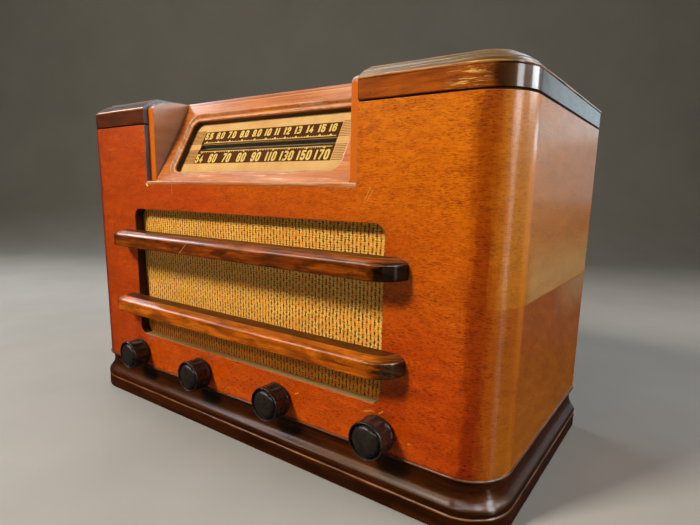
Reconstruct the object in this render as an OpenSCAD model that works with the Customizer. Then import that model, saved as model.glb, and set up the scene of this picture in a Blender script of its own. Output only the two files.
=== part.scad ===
// Wooden table radio receiver, about 1940: a veneered cabinet with two bent
// front corners, two moulded caps, a sloping dial let into a notch in the top,
// a cloth grille behind two cross bars, and four control knobs.
// Millimetres, +Z up, the front faces -Y, the origin is under the middle of
// the whole object, on the surface that it stands on.

/* [Cabinet] */
// Width of the cabinet across its flat sides
cab_w = 460; // [440:1:480]
// Depth of the cabinet walls, from the front face to the back edge
cab_d = 214; // [210:1:226]
// Height of the caps' flat top above the floor
cab_h = 301.5; // [299:0.5:306]
// Outer radius of the two bent front corners
corner_r = 31.5; // [28:0.5:38]
// Thickness of the plywood front and sides
wall_t = 9; // [8.5:0.5:10]
// Height of the base moulding
base_h = 39; // [38:0.5:40]
// Height where the caps begin
cap_z = 277.5; // [276:0.5:279]

/* [Grille] */
// Width of the grille opening
grille_w = 291; // [270:1:296]
// Height of the grille opening
grille_h = 126.4; // [122:0.1:128]
// Height of the grille opening's lower edge above the floor
grille_z = 72.2; // [71:0.1:74]
// Length of each cross bar
bar_l = 329; // [325:1:340]
// How far the cross bars stand out from the front face
bar_d = 21; // [19:0.5:24]
// Height of each cross bar
bar_h = 14.3; // [13:0.1:15]
// Height of the lower bar's upper face above the floor
bar_z1 = 112.9; // [110:0.1:115]
// Height of the upper bar's upper face above the floor
bar_z2 = 177.7; // [175:0.1:180]

/* [Dial] */
// Width of the notch in the top of the front panel
notch_w = 243; // [240:1:246]
// Height of the notch's lower edge above the floor
notch_z = 222; // [221:0.5:223]
// Angle that the dial leans back from the vertical
dial_tilt = 28.9; // [28:0.1:30]
// Thickness of the two boards that line the notch
cheek_t = 8.5; // [7:0.5:9]
// Width of the dial opening at the front of its frame
dial_w = 200; // [196:1:202]
// Height of the dial opening along the slope
dial_h = 62.5; // [60:0.5:63]
// Travel of the dial pointer
pointer_travel = 150; // [140:1:152]

/* [Controls] */
// Distance from one knob to the next
knob_pitch = 96.6; // [94:0.1:98]
// Height of the control shafts above the floor
knob_z = 52; // [51.5:0.1:53]
// Diameter of each knob's rim
knob_dia = 28.3; // [26:0.1:30]
// Diameter of the control shafts
shaft_dia = 6.35; // [6:0.05:6.4]

/* [Speaker] */
// Diameter of the loudspeaker's frame
speaker_dia = 128; // [120:1:130]
// Position of the loudspeaker's centre to the left of the middle
speaker_x = -60; // [-64:1:-58]

/* [Hidden] */

// Where the cabinet's front face lies, with the whole object centred on Y = 0
front_y = bar_d - (cab_d + bar_d) / 2;
// Half widths and heights that several parts share
hw = cab_w / 2;
cx = hw - corner_r;
wall_top = cap_z - 0.7;
rail_t = 18;
cap_rail = 20;
cap_under = cab_h - 10;
nh = notch_w / 2;
ci = nh - cheek_t;
cheek_y = 4.4;
dial_y = 1.74;
top_z = cab_h - 1;
slope = tan(dial_tilt);
// Where the sloping frame meets the top panel
top_y = dial_y + slope * (top_z - notch_z);
frame_t = 7.2;
frame_back = frame_t / cos(dial_tilt);
knobs = [-1.5, -0.5, 0.5, 1.5];
speaker_z = 135.4;
chassis_x = 190;
chassis_y0 = 42;
chassis_y1 = 182;
chassis_z0 = 24;
chassis_z1 = 80;
sheet_t = 1.5;
drum_x = 75;
drum_z = 110;
drum_r = pointer_travel / PI;
back_y = 202;
sr = shaft_dia / 2;
eps = 0.01;

// The base moulding's section: how far out, and how high
function base_profile() = [[-rail_t, 0.6], [3.6, 0.6], [3.6, 13.0], [2.9, 13.5],
  [3.1, 14.2], [3.5, 15.4], [3.5, 16.8], [3.1, 18.2], [2.2, 19.6], [0.6, 21.6],
  [-0.9, 23.9], [-1.9, 26.4], [-2.4, 29.2], [-2.4, 31.8], [-1.9, 34.2],
  [-0.9, 36.2], [0.3, 37.3], [1.0, 37.6], [1.0, base_h], [-rail_t, base_h]];

// The caps' section
function cap_profile() = let(b = cap_z + 0.7, t = cab_h) [[-cap_rail, b], [0, b],
  [0, t - 11], [0.5, t - 10.5], [0.6, t - 9.9], [0.2, t - 9.2], [-0.9, t - 8.4],
  [-1.9, t - 7.4], [-3, t - 6.3], [-5.2, t - 4.8], [-8, t - 3.1],
  [-11.4, t - 1.4], [-13.6, t - 0.5], [-15, t], [-cap_rail, t]];

// Cabinet frame: front face on Y = 0
module cab() translate([0, front_y, 0]) children();
// A turned part whose axis runs from front to back
module along_y(x, y, z) translate([x, y, z]) rotate([-90, 0, 0]) children();
// The dial's own plane: X across, Y up the slope, Z out of the frame's face
module on_slope() translate([0, dial_y, notch_z]) rotate([90 - dial_tilt, 0, 0]) children();
module both() for (s = [0, 1]) mirror([s, 0, 0]) children();

// Plan of the cabinet, moved outwards by o on the front and the sides
module plan(o = 0, yb = cab_d) {
  r = corner_r + o;
  translate([-(hw + o), corner_r]) square([2 * (hw + o), yb - corner_r]);
  translate([-cx, -o]) square([2 * cx, corner_r + o + 1]);
  for (s = [-1, 1]) translate([s * cx, corner_r]) circle(r = r, $fn = 96);
}

// The half of the plan to the right of x0
module right_part(x0) intersection() {
  children();
  translate([x0, -20]) square([hw + 20 - x0, cab_d + 40]);
}

// A section carried along the front from x0, round the right corner and back
module run_right(prof, x0) {
  translate([x0, 0, 0]) rotate([90, 0, 90]) linear_extrude(cx - x0)
    polygon([for (p = prof) [-p[0], p[1]]]);
  translate([cx, corner_r, 0]) rotate([0, 0, -90])
    rotate_extrude(angle = 90, $fn = 96) polygon([for (p = prof) [corner_r + p[0], p[1]]]);
  translate([hw, cab_d, 0]) rotate([90, 0, 0]) linear_extrude(cab_d - corner_r)
    polygon(prof);
}

// A rectangle with round corners, centred
module round_rect(w, h, r) {
  square([w - 2 * r, h], center = true);
  square([w, h - 2 * r], center = true);
  for (i = [-1, 1], j = [-1, 1]) translate([i * (w / 2 - r), j * (h / 2 - r)]) circle(r = r, $fn = 48);
}

// A slot with round ends, w long and d wide, standing upright
module slot(h, d) {
  square([d, h - d], center = true);
  for (j = [-1, 1]) translate([0, j * (h - d) / 2]) circle(d = d, $fn = 24);
}

bar_screw_x = bar_l / 2 - 9.5;
bar_mids = [bar_z1 - bar_h / 2, bar_z2 - bar_h / 2];

// ---- Cabinet ----

module front_panel() color([0.62, 0.25, 0.08]) cab() difference() {
  translate([-cx, 0, base_h]) cube([2 * cx, wall_t, wall_top - base_h]);
  translate([-nh, -1, notch_z]) cube([notch_w, wall_t + 2, 100]);
  translate([0, wall_t + 1, grille_z + grille_h / 2]) rotate([90, 0, 0])
    linear_extrude(wall_t + 2) round_rect(grille_w, grille_h, 8);
  for (k = knobs) along_y(k * knob_pitch, -1, knob_z) cylinder(r = 6, h = wall_t + 2, $fn = 48);
  for (s = [-1, 1], z = bar_mids) along_y(s * bar_screw_x, -1, z)
    cylinder(r = 2, h = wall_t + 2, $fn = 32);
}

module side() linear_extrude(wall_top - base_h) right_part(cx) difference() {
  plan(0);
  plan(-wall_t, cab_d + 1);
}
module left_side() color([0.5, 0.2, 0.08]) cab() translate([0, 0, base_h]) mirror([1, 0, 0]) side();
module right_side() color([0.5, 0.2, 0.08]) cab() translate([0, 0, base_h]) side();

module base_moulding() color([0.16, 0.07, 0.05]) cab() both() run_right(base_profile(), 0);

module base_back_rail() color([0.3, 0.18, 0.1]) cab()
  translate([-(hw - rail_t - 0.1), cab_d - rail_t, 0.6])
    cube([2 * (hw - rail_t - 0.1), rail_t, base_h - 0.6]);

module inner_plan(y1) intersection() {
  plan(-rail_t - 0.2);
  translate([-hw, 0]) square([cab_w, y1]);
}

module bottom_board() color([0.55, 0.4, 0.25]) cab() difference() {
  translate([0, 0, 12]) linear_extrude(9) inner_plan(cab_d - rail_t - 0.2);
  for (s = [-1, 1], y = [62, 162]) translate([s * 197, y, 11]) cylinder(r = 2.6, h = 11, $fn = 32);
}

module corner_blocks() color([0.6, 0.45, 0.28]) cab() both() for (y = [rail_t + 0.2, cab_d - rail_t - 27.2])
  intersection() {
    translate([0, 0, 2]) linear_extrude(10) inner_plan(cab_d - rail_t - 0.2);
    translate([hw - rail_t - 31, y, 0]) cube([40, 27, 20]);
  }

module foot_pads() color([0.25, 0.22, 0.2]) cab() both() for (y = [34, cab_d - rail_t - 15])
  translate([hw - 34, y, 0]) cylinder(r = 9, h = 2, $fn = 48);

module cap() difference() {
  union() {
    run_right(cap_profile(), nh);
    translate([0, 0, cap_under]) linear_extrude(10) right_part(nh) plan(-cap_rail + eps);
    translate([0, 0, wall_top]) linear_extrude(cap_z + 0.7 - wall_top) right_part(nh) difference() {
      plan(-1.5);
      plan(-wall_t, cab_d + 1);
    }
  }
  // room for the pocket's plain back end
  translate([nh + 12, cab_d - 12, cap_under - 30]) cube([hw - cap_rail - nh - 12, 13, 30]);
}
module left_cap() color([0.3, 0.13, 0.06]) cab() mirror([1, 0, 0]) cap();
module right_cap() color([0.3, 0.13, 0.06]) cab() cap();

module top_panel() color([0.42, 0.18, 0.08]) cab()
  translate([-nh, top_y + 0.1, top_z - 9]) cube([notch_w, cab_d - top_y - 0.1, 9]);

module cheek() {
  zt = top_z - 0.5;
  translate([ci, 0, 0]) rotate([90, 0, 90]) linear_extrude(cheek_t - eps) difference() {
    union() {
      translate([cheek_y + 4, notch_z]) square([top_y - cheek_y - 4, zt - notch_z]);
      translate([cheek_y, notch_z]) square([10, zt - notch_z - 4]);
      translate([cheek_y + 4, zt - 4]) circle(r = 4, $fn = 48);
      translate([top_y - 1, notch_z]) square([16, top_z - 9 - notch_z]);
    }
  }
}
module left_cheek() color([0.35, 0.16, 0.1]) cab() mirror([1, 0, 0]) cheek();
module right_cheek() color([0.35, 0.16, 0.1]) cab() cheek();

// One cross bar, its back on the front face and its upper edge bevelled
module bar(z) difference() {
  r = bar_d;
  intersection() {
    translate([0, 0, z - bar_h]) linear_extrude(bar_h) {
      translate([-(bar_l / 2 - r), -r]) square([bar_l - 2 * r, r]);
      intersection() {
        for (s = [-1, 1]) translate([s * (bar_l / 2 - r), 0]) circle(r = r, $fn = 96);
        translate([-bar_l, -2 * r]) square([2 * bar_l, 2 * r]);
      }
    }
    rotate([90, 0, 90]) translate([0, 0, -bar_l]) linear_extrude(2 * bar_l)
      polygon([[0.1, z - bar_h], [-r + 1.4, z - bar_h], [-r, z - bar_h + 1.4], [-r, z - 2.7],
        [-r + 1.2, z - 1.9], [-r + 7.4, z], [0.1, z]]);
  }
  for (s = [-1, 1]) along_y(s * bar_screw_x, -12, z - bar_h / 2) cylinder(r = 1.75, h = 13, $fn = 32);
}
module upper_bar() color([0.36, 0.14, 0.08]) cab() bar(bar_z2);
module lower_bar() color([0.36, 0.14, 0.08]) cab() bar(bar_z1);

module bar_screws() color([0.7, 0.6, 0.35]) cab() for (s = [-1, 1], z = bar_mids)
  along_y(s * bar_screw_x, -11.5, z) rotate_extrude($fn = 32)
    polygon([[0, 0], [1.7, 1.5], [1.7, wall_t + 11.5], [4, wall_t + 11.5], [3.6, wall_t + 13.3], [0, wall_t + 13.7]]);

// ---- Grille and loudspeaker ----

module grille_cloth() color([0.68, 0.52, 0.25]) cab()
  translate([-150, wall_t, grille_z - 5]) cube([300, 0.8, grille_h + 10]);

module speaker_board() color([0.35, 0.22, 0.12]) cab() difference() {
  translate([-chassis_x, wall_t + 0.8, 62]) cube([2 * chassis_x, 6, 154]);
  along_y(speaker_x, wall_t, speaker_z) cylinder(r = speaker_dia / 2 - 9, h = 8, $fn = 96);
  for (s = [-1, 1], z = bar_mids) along_y(s * bar_screw_x, wall_t, z) cylinder(r = 5, h = 8, $fn = 32);
}

sb = wall_t + 6.8;
module speaker_basket() color([0.55, 0.55, 0.52]) cab() along_y(speaker_x, sb, speaker_z) difference() {
  r = speaker_dia / 2;
  rotate_extrude($fn = 96) polygon([[r - 9, 0], [r, 0], [r, 1.6], [r - 6, 1.6], [r - 7.5, 9],
    [31, 38], [27, 40], [27, 44], [14, 44], [14, 42.4], [25.4, 42.4], [25.4, 38.8], [30, 36.6], [r - 9, 8.2]]);
  for (a = [0:90:270]) rotate([0, 0, a + 45]) translate([r - 3, 0, -1]) cylinder(r = 2.2, h = 4, $fn = 24);
  for (a = [0:90:270]) rotate([0, 0, a]) translate([30, -16, 14]) cube([40, 32, 17]);
}
module speaker_cone() color([0.2, 0.18, 0.16]) cab() along_y(speaker_x, sb, speaker_z)
  rotate_extrude($fn = 96) polygon([[speaker_dia / 2 - 9.4, 0.2], [speaker_dia / 2 - 9.4, 1.4],
    [speaker_dia / 2 - 14, 3.2], [13, 30], [13, 42], [12.2, 42], [12.2, 28], [0.4, 24], [0, 24], [0, 23],
    [12.6, 27], [speaker_dia / 2 - 14.6, 2.2], [speaker_dia / 2 - 12, 0.2]]);
module speaker_magnet() color([0.3, 0.3, 0.3]) cab() along_y(speaker_x, sb + 44, speaker_z)
  rotate_extrude($fn = 64) polygon([[11.5, -4], [11.5, 0], [14.2, 0], [14.2, 0.02], [30, 0.02], [30, 4],
    [26, 4], [26, 19], [30, 19], [30, 23], [0, 23], [0, -4]]);
module output_transformer() color([0.3, 0.25, 0.2]) cab() {
  translate([-168, 58, chassis_z1]) cube([40, 34, 2]);
  translate([-165, 63, chassis_z1 + 2]) cube([34, 24, 30]);
  translate([-158, 57, chassis_z1 + 7]) cube([20, 36, 20]);
}

// ---- Dial ----

dial_s = 13 + dial_h / 2;
module dial_opening(e, depth) translate([0, dial_s, -depth]) linear_extrude(depth + 5)
  round_rect(dial_w - 2 * e, dial_h - 2 * e - 1.5 * min(e, 1), 11 - e);
module dial_frame() color([0.6, 0.26, 0.12]) cab() difference() {
  union() {
    translate([-(ci - 0.1), 0, 0]) rotate([90, 0, 90]) linear_extrude(2 * (ci - 0.1))
      polygon([[0, notch_z], [0, notch_z + 3.6], [dial_y + slope * 3.6, notch_z + 3.6],
        [top_y - 0.1, top_z], [top_y, top_z], [top_y, top_z - 9.1],
        [dial_y + frame_back + slope * (top_z - 9.1 - notch_z), top_z - 9.1],
        [dial_y + frame_back, notch_z]]);
    translate([-(nh - 0.1), 0, 0]) rotate([90, 0, 90]) linear_extrude(2 * (nh - 0.1))
      polygon([[0.2, notch_z], [-0.4, notch_z + 0.6], [-0.4, notch_z + 2.8], [0.4, notch_z + 3.6],
        [cheek_y - 0.1, notch_z + 3.6], [cheek_y - 0.1, notch_z]]);
  }
  on_slope() {
    dial_opening(0, 1.2);
    dial_opening(1.4, 2.6);
    dial_opening(3, 40);
  }
}
gl_s0 = 10.4;
gl_s1 = 75.5;
module slope_sheet(x, s0, s1, d0, d1) on_slope() translate([-x, s0, -d1]) cube([2 * x, s1 - s0, d1 - d0]);
module dial_glass() color([0.8, 0.85, 0.85, 0.35]) cab() slope_sheet(103, gl_s0, gl_s1, frame_t + 0.1, frame_t + 1.5);
module dial_plate() color([0.85, 0.6, 0.3]) cab() difference() {
  slope_sheet(103, gl_s0, gl_s1, frame_t + 1.6, frame_t + 2.4);
  slope_sheet(80.7, 42.4, 47.7, frame_t, frame_t + 4);
}
pan_d = frame_t + 7.2;
module dial_pan() color([0.16, 0.16, 0.15]) cab() on_slope() difference() {
  union() {
    translate([-104.6, gl_s0 - 1, -pan_d - 1]) cube([209.2, gl_s1 - gl_s0 + 10, 1]);
    for (s = [-1, 1]) translate([s * 103.85 - 0.75, gl_s0 - 1, -pan_d]) cube([1.5, gl_s1 - gl_s0 + 2, pan_d - frame_t - 0.2]);
    // pointer rail along the upper edge
    translate([-104.6, gl_s1 + 4.5, -pan_d]) cube([209.2, 1.2, 2.2]);
  }
  for (s = [-1, 1]) translate([s * 103.85 - 1, gl_s0 - 0.1, -frame_t - 2.5]) cube([2, gl_s1 - gl_s0 + 0.2, 3]);
  for (s = [-1, 1]) translate([s * 62, 45, -pan_d - 2]) cylinder(r = 6.2, h = 4, $fn = 32);
}
// The pointer rests at the right end of its travel
pointer_x = 84;
module dial_pointer() color([0.7, 0.15, 0.08]) cab() on_slope() {
  translate([pointer_x - 0.6, 39, -frame_t - 4.2]) cube([1.2, 41.5, 0.8]);
  difference() {
    translate([pointer_x - 5, gl_s1 + 1.6, -pan_d + 0.3]) cube([10, 6.6, 3.8]);
    translate([pointer_x - 6, gl_s1 + 4.2, -pan_d - 1]) cube([12, 1.8, 3.5]);
  }
}
module dial_lamps() color([0.95, 0.9, 0.75, 0.5]) cab() on_slope() for (s = [-1, 1])
  translate([s * 62, 45, -pan_d - 18]) rotate_extrude($fn = 32)
    polygon([[0, 0], [4.2, 0], [4.2, 4], [5.5, 8], [5.5, 12], [4.2, 15], [2, 16.4], [0, 16.7]]);
module lamp_sockets() color([0.7, 0.65, 0.5]) cab() on_slope() for (s = [-1, 1]) {
  translate([s * 62, 45, -pan_d - 32]) cylinder(r = 5.5, h = 13.9, $fn = 32);
  translate([s * 62 - 3, 45 - 8, -pan_d - 32]) cube([6, 2, 30.9]);
  translate([s * 62 - 3, 45 - 7, -pan_d - 32]) cube([6, 4, 12]);
}

// ---- Controls ----

module knob(x) along_y(x, 0, knob_z) {
  r = knob_dia / 2;
  bore = sr + 0.03;
  // domed face and rim
  rotate_extrude($fn = 96) polygon([[0, -19.2], [4, -19.05], [7.5, -18.5], [10, -17.4], [11.2, -16.4],
    [11.7, -16.5], [12.4, -17.2], [13.2, -17.3], [13.9, -16.8], [r, -15.8], [r - 0.2, -14], [0, -14]]);
  // fluted band, bored for the shaft
  translate([0, 0, -14]) linear_extrude(0.6) fluted(r - 0.2);
  translate([0, 0, -13.4]) linear_extrude(9.4) difference() {
    fluted(r - 0.2);
    circle(r = bore, $fn = 32);
  }
  rotate_extrude($fn = 96) polygon([[bore, -4], [r - 0.2, -4], [r, -2.6], [r, -1.7], [bore, -1.7]]);
}
module fluted(r) difference() {
  circle(r = r, $fn = 96);
  for (a = [15:30:359]) rotate(a) translate([r + 3.2, 0]) circle(r = 4, $fn = 32);
}
module volume_knob() color([0.1, 0.05, 0.04]) cab() knob(knobs[0] * knob_pitch);
module tone_knob() color([0.1, 0.05, 0.04]) cab() knob(knobs[1] * knob_pitch);
module band_knob() color([0.1, 0.05, 0.04]) cab() knob(knobs[2] * knob_pitch);
module tuning_knob() color([0.1, 0.05, 0.04]) cab() knob(knobs[3] * knob_pitch);
module knob_felts() color([0.2, 0.12, 0.1]) cab() for (k = knobs)
  along_y(k * knob_pitch, -1.2, knob_z) difference() {
    cylinder(r = 10.5, h = 1.2, $fn = 48);
    translate([0, 0, -1]) cylinder(r = 4, h = 4, $fn = 32);
  }

module shaft(x) along_y(x, -13.3, knob_z) cylinder(r = sr, h = 13.3 + 49.5, $fn = 32);
module volume_shaft() color("silver") cab() shaft(knobs[0] * knob_pitch);
module tone_shaft() color("silver") cab() shaft(knobs[1] * knob_pitch);
module band_shaft() color("silver") cab() shaft(knobs[2] * knob_pitch);
module tuning_shaft() color("silver") cab() along_y(knobs[3] * knob_pitch, 0, knob_z)
  rotate_extrude($fn = 48) polygon([[0, -13.3], [sr, -13.3], [sr, 22], [5.2, 22], [5.2, 23.4], [4, 24.6],
    [4, 29.4], [5.2, 30.6], [5.2, 32], [sr, 32], [sr, 50.4], [5, 50.4], [5, 51.4], [sr, 51.4], [sr, 54], [0, 54]]);

// A control's case and threaded bush, both bored for the shaft
module control(x, r, h) along_y(x, 0, knob_z) rotate_extrude($fn = 48) polygon([[sr + 0.07, 33],
  [4.7, 33], [4.7, chassis_y0 + sheet_t], [r, chassis_y0 + sheet_t], [r, chassis_y0 + sheet_t + h],
  [0, chassis_y0 + sheet_t + h], [0, 49.7], [sr + 0.07, 49.7]]);
module volume_control() color([0.6, 0.6, 0.55]) cab() control(knobs[0] * knob_pitch, 12, 24);
module tone_control() color([0.6, 0.6, 0.55]) cab() control(knobs[1] * knob_pitch, 12, 13);
module band_switch() color([0.65, 0.45, 0.25]) cab() control(knobs[2] * knob_pitch, 17, 18);
module tuning_bushing() color([0.7, 0.6, 0.3]) cab() along_y(knobs[3] * knob_pitch, 0, knob_z)
  rotate_extrude($fn = 48) polygon([[sr + 0.07, 33], [4.7, 33], [4.7, chassis_y0 + sheet_t],
    [9, chassis_y0 + sheet_t], [9, 46], [4.7, 46], [4.7, 50], [sr + 0.07, 50]]);
module control_nuts() color([0.75, 0.72, 0.6]) cab() for (k = knobs)
  along_y(k * knob_pitch, chassis_y0 - 2.6, knob_z) difference() {
    cylinder(r = 7.3, h = 2.6, $fn = 6);
    translate([0, 0, -1]) cylinder(r = 4.8, h = 5, $fn = 48);
  }

// ---- Tuning capacitor ----

module dial_drum() color([0.7, 0.68, 0.62]) cab() along_y(drum_x, 24, drum_z) difference() {
  rotate_extrude($fn = 128) polygon([[3.05, -2], [8, -2], [8, 2], [drum_r - 8, 2], [drum_r - 8, 0],
    [drum_r + 1.3, 0], [drum_r + 1.3, 0.8], [drum_r, 2], [drum_r, 4], [drum_r + 1.3, 5.2],
    [drum_r + 1.3, 6], [drum_r - 8, 6], [drum_r - 8, 3.6], [8, 3.6], [8, 8], [3.05, 8]]);
  for (a = [0:72:359]) rotate([0, 0, a]) translate([24, 0, -1]) cylinder(r = 9, h = 8, $fn = 48);
}
module capacitor_rotor() color([0.75, 0.75, 0.72]) cab() along_y(drum_x, 0, drum_z) {
  translate([0, 0, 21]) cylinder(r = 3, h = 103, $fn = 32);
  for (g = [0, 1], i = [0:4]) translate([0, 0, 58 + g * 32 + i * 5]) {
    difference() {
      cylinder(r = 19.5, h = 1, $fn = 64);
      translate([-25, 4, -1]) cube([50, 50, 3]);
    }
  }
}
module capacitor_stators() color([0.75, 0.75, 0.72]) cab() along_y(drum_x, 0, drum_z) for (g = [0, 1]) {
  for (i = [0:4]) translate([0, 0, 60.5 + g * 32 + i * 5]) difference() {
    translate([-24, 5.2, 0]) cube([48, 16.8, 1]);
    translate([0, 0, -1]) cylinder(r = 6, h = 3, $fn = 32);
  }
  for (s = [-1, 1]) translate([s * 23 - 1, 12, 60.5 + g * 32]) cube([2, 6, 21]);
  for (s = [-1, 1], y = [62.5, 77.5]) translate([s * 20 - 2, 21, y + g * 32]) cube([4, 3, 4]);
}
module capacitor_frame() color([0.6, 0.6, 0.58]) cab() difference() {
  union() {
    translate([drum_x - 27, 50, drum_z - 26]) cube([54, 74, 2]);
    for (y = [50, 86.5, 121]) translate([drum_x - 27, y, drum_z - 26]) cube([54, y == 86.5 ? 1 : 2, 50]);
    for (s = [-1, 1], y = [58, 114]) translate([drum_x + s * 20, y, chassis_z1]) cylinder(r = 5, h = drum_z - 25 - chassis_z1, $fn = 32);
  }
  along_y(drum_x, 40, drum_z) cylinder(r = 3.06, h = 100, $fn = 32);
}

// ---- Chassis ----

module chassis() color([0.62, 0.62, 0.58]) cab() difference() {
  union() {
    translate([-chassis_x, chassis_y0, chassis_z0]) cube([2 * chassis_x, chassis_y1 - chassis_y0, chassis_z1 - chassis_z0]);
    for (s = [-1, 1]) translate([s * 196.5 - 6.5, chassis_y0 + 4, chassis_z0]) cube([13, chassis_y1 - chassis_y0 - 8, sheet_t]);
  }
  translate([-chassis_x + sheet_t, chassis_y0 + sheet_t, chassis_z0 - 1])
    cube([2 * (chassis_x - sheet_t), chassis_y1 - chassis_y0 - 2 * sheet_t, chassis_z1 - chassis_z0 - sheet_t + 1]);
  for (k = knobs) along_y(k * knob_pitch, chassis_y0 - 1, knob_z) cylinder(r = 4.8, h = 4, $fn = 48);
  for (s = [-1, 1], y = [62, 162]) translate([s * 197, y, chassis_z0 - 1]) cylinder(r = 2.6, h = 4, $fn = 32);
}
// Four bolts from below, each with its rubber spacer's bore round it
module chassis_bolts() color([0.7, 0.68, 0.6]) cab() for (s = [-1, 1], y = [62, 162])
  translate([s * 197, y, 0]) {
    translate([0, 0, 9]) cylinder(r = 5, h = 3, $fn = 32);
    translate([0, 0, 11]) cylinder(r = 2.4, h = 19, $fn = 32);
    translate([0, 0, 25.5]) cylinder(r = 4.6, h = 3.2, $fn = 6);
    translate([0, 0, 21]) difference() {
      cylinder(r = 6, h = 3, $fn = 32);
      translate([0, 0, -1]) cylinder(r = 2.2, h = 5, $fn = 32);
    }
  }

tube_at = [[-48, 156], [0, 156], [46, 160], [92, 158], [140, 156], [142, 96]];
tube_h = [70, 60, 62, 62, 66, 60];
module tube_sockets() color([0.25, 0.16, 0.1]) cab() for (p = tube_at)
  translate([p[0], p[1], chassis_z1]) {
    cylinder(r = 17, h = 1.5, $fn = 48);
    cylinder(r = 14, h = 5, $fn = 48);
  }
module tube_bases() color([0.14, 0.1, 0.08]) cab() for (p = tube_at)
  translate([p[0], p[1], chassis_z1 + 5.1]) rotate_extrude($fn = 48)
    polygon([[0, 0], [15.5, 0], [15.5, 4], [14.6, 6], [14.6, 17], [13.2, 17], [13.2, 15], [0, 15]]);
module tubes() color([0.8, 0.82, 0.8, 0.4]) cab() for (i = [0:5])
  translate([tube_at[i][0], tube_at[i][1], chassis_z1 + 20.2]) let(h = tube_h[i]) rotate_extrude($fn = 48)
    polygon([[0, 0], [13, 0], [13, 6], [14.5, 12], [14.5, h - 14], [13.5, h - 8], [10, h - 3], [5, h - 0.6], [0, h],
      [0, h - 1.2], [4.6, h - 1.8], [9.3, h - 4], [12.4, h - 8.6], [13.3, h - 14], [13.3, 12.2], [11.8, 6.2], [11.8, 1.2], [0, 1.2]]);
module coil_cans() color([0.75, 0.75, 0.73]) cab() for (p = [[-25, 112], [22, 108], [176, 96]])
  translate([p[0], p[1], chassis_z1]) {
    difference() {
      linear_extrude(76) round_rect(30, 30, 5);
      translate([0, 0, -1]) linear_extrude(76) round_rect(28.4, 28.4, 4.2);
    }
    for (s = [-1, 1]) translate([s * 9, 0, 75]) cylinder(r = 2.5, h = 2.5, $fn = 24);
  }
module power_transformer() color([0.2, 0.2, 0.2]) cab() {
  translate([-187, 104, chassis_z1]) cube([74, 68, 1.6]);
  translate([-187, 112, chassis_z1 + 1.6]) cube([74, 52, 62]);
  translate([-178, 100, chassis_z1 + 8]) cube([56, 76, 48]);
}
module filter_can() color([0.7, 0.7, 0.68]) cab() translate([-92, 152, chassis_z1]) rotate_extrude($fn = 48)
  polygon([[0, 72], [16.5, 72], [17.5, 71], [17.5, 3], [19, 3], [19, 0], [16, 0], [16, 70.5], [0, 70.5]]);

// ---- Back ----

module back_cleats() color([0.55, 0.4, 0.25]) cab() both()
  translate([hw - wall_t - 12, back_y - 12, base_h + 1]) cube([11.9, 12, wall_top - base_h - 4]);

cut_x = 110;
module back_cover() color([0.4, 0.26, 0.15]) cab() difference() {
  translate([0, back_y + 3, 0]) rotate([90, 0, 0]) linear_extrude(3) difference() {
    union() {
      translate([-(hw - wall_t - 0.2), base_h + 0.2]) square([2 * (hw - wall_t - 0.2), wall_top - base_h - 0.4]);
      translate([-(hw - cap_rail - 0.3), base_h + 0.2]) square([2 * (hw - cap_rail - 0.3), cap_under - 0.3 - base_h]);
    }
    for (i = [-7:7]) translate([i * 24, 236]) slot(46, 7);
    for (i = [-7:7]) translate([i * 24, 168]) slot(46, 7);
    for (i = [-8:8]) translate([i * 22, 118]) circle(r = 5, $fn = 32);
    translate([cut_x, 56]) square([76, 24], center = true);
    translate([-140, 58]) circle(r = 7.1, $fn = 48);
  }
  for (s = [-1, 1], z = [56, 150, 262]) along_y(s * (hw - wall_t - 6), back_y - 1, z) cylinder(r = 2, h = 6, $fn = 24);
}
module back_screws() color([0.7, 0.6, 0.35]) cab() for (s = [-1, 1], z = [56, 150, 262])
  along_y(s * (hw - wall_t - 6), back_y + 3, z) rotate_extrude($fn = 32)
    polygon([[0, -3], [1.9, -3], [1.9, 0], [4.2, 0], [3.6, 1.7], [1.6, 2.5], [0, 2.6]]);
module terminal_strip() color([0.5, 0.34, 0.18]) cab() {
  translate([cut_x - 30, chassis_y1, 49]) cube([60, 1.6, 14]);
  for (i = [-1, 0, 1]) along_y(cut_x + i * 20, chassis_y1 + 1.6, 56) {
    cylinder(r = 3.6, h = 2, $fn = 32);
    translate([0, 0, 2]) cylinder(r = 2.6, h = 1.4, $fn = 32);
  }
}
// The mains lead's inlet in the back cover
module cord_grommet() color([0.08, 0.08, 0.08]) cab() along_y(-140, back_y, 58)
  rotate_extrude($fn = 48) polygon([[3.8, -1.6], [8.6, -1.6], [9, -1], [9, -0.1], [7, -0.1], [7, 3.1],
    [9, 3.1], [9, 4], [8.6, 4.6], [3.8, 4.6]]);

front_panel();
left_side();
right_side();
base_moulding();
base_back_rail();
bottom_board();
corner_blocks();
foot_pads();
left_cap();
right_cap();
top_panel();
left_cheek();
right_cheek();
upper_bar();
lower_bar();
bar_screws();
grille_cloth();
speaker_board();
speaker_basket();
speaker_cone();
speaker_magnet();
output_transformer();
dial_frame();
dial_glass();
dial_plate();
dial_pan();
dial_pointer();
dial_lamps();
lamp_sockets();
volume_knob();
tone_knob();
band_knob();
tuning_knob();
knob_felts();
volume_shaft();
tone_shaft();
band_shaft();
tuning_shaft();
volume_control();
tone_control();
band_switch();
tuning_bushing();
control_nuts();
dial_drum();
capacitor_rotor();
capacitor_stators();
capacitor_frame();
chassis();
chassis_bolts();
tube_sockets();
tube_bases();
tubes();
coil_cans();
power_transformer();
filter_can();
back_cleats();
back_cover();
back_screws();
terminal_strip();
cord_grommet();
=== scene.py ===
import math

import bpy
import numpy as np
from mathutils import Matrix, Vector
from mathutils.geometry import delaunay_2d_cdt


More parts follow.
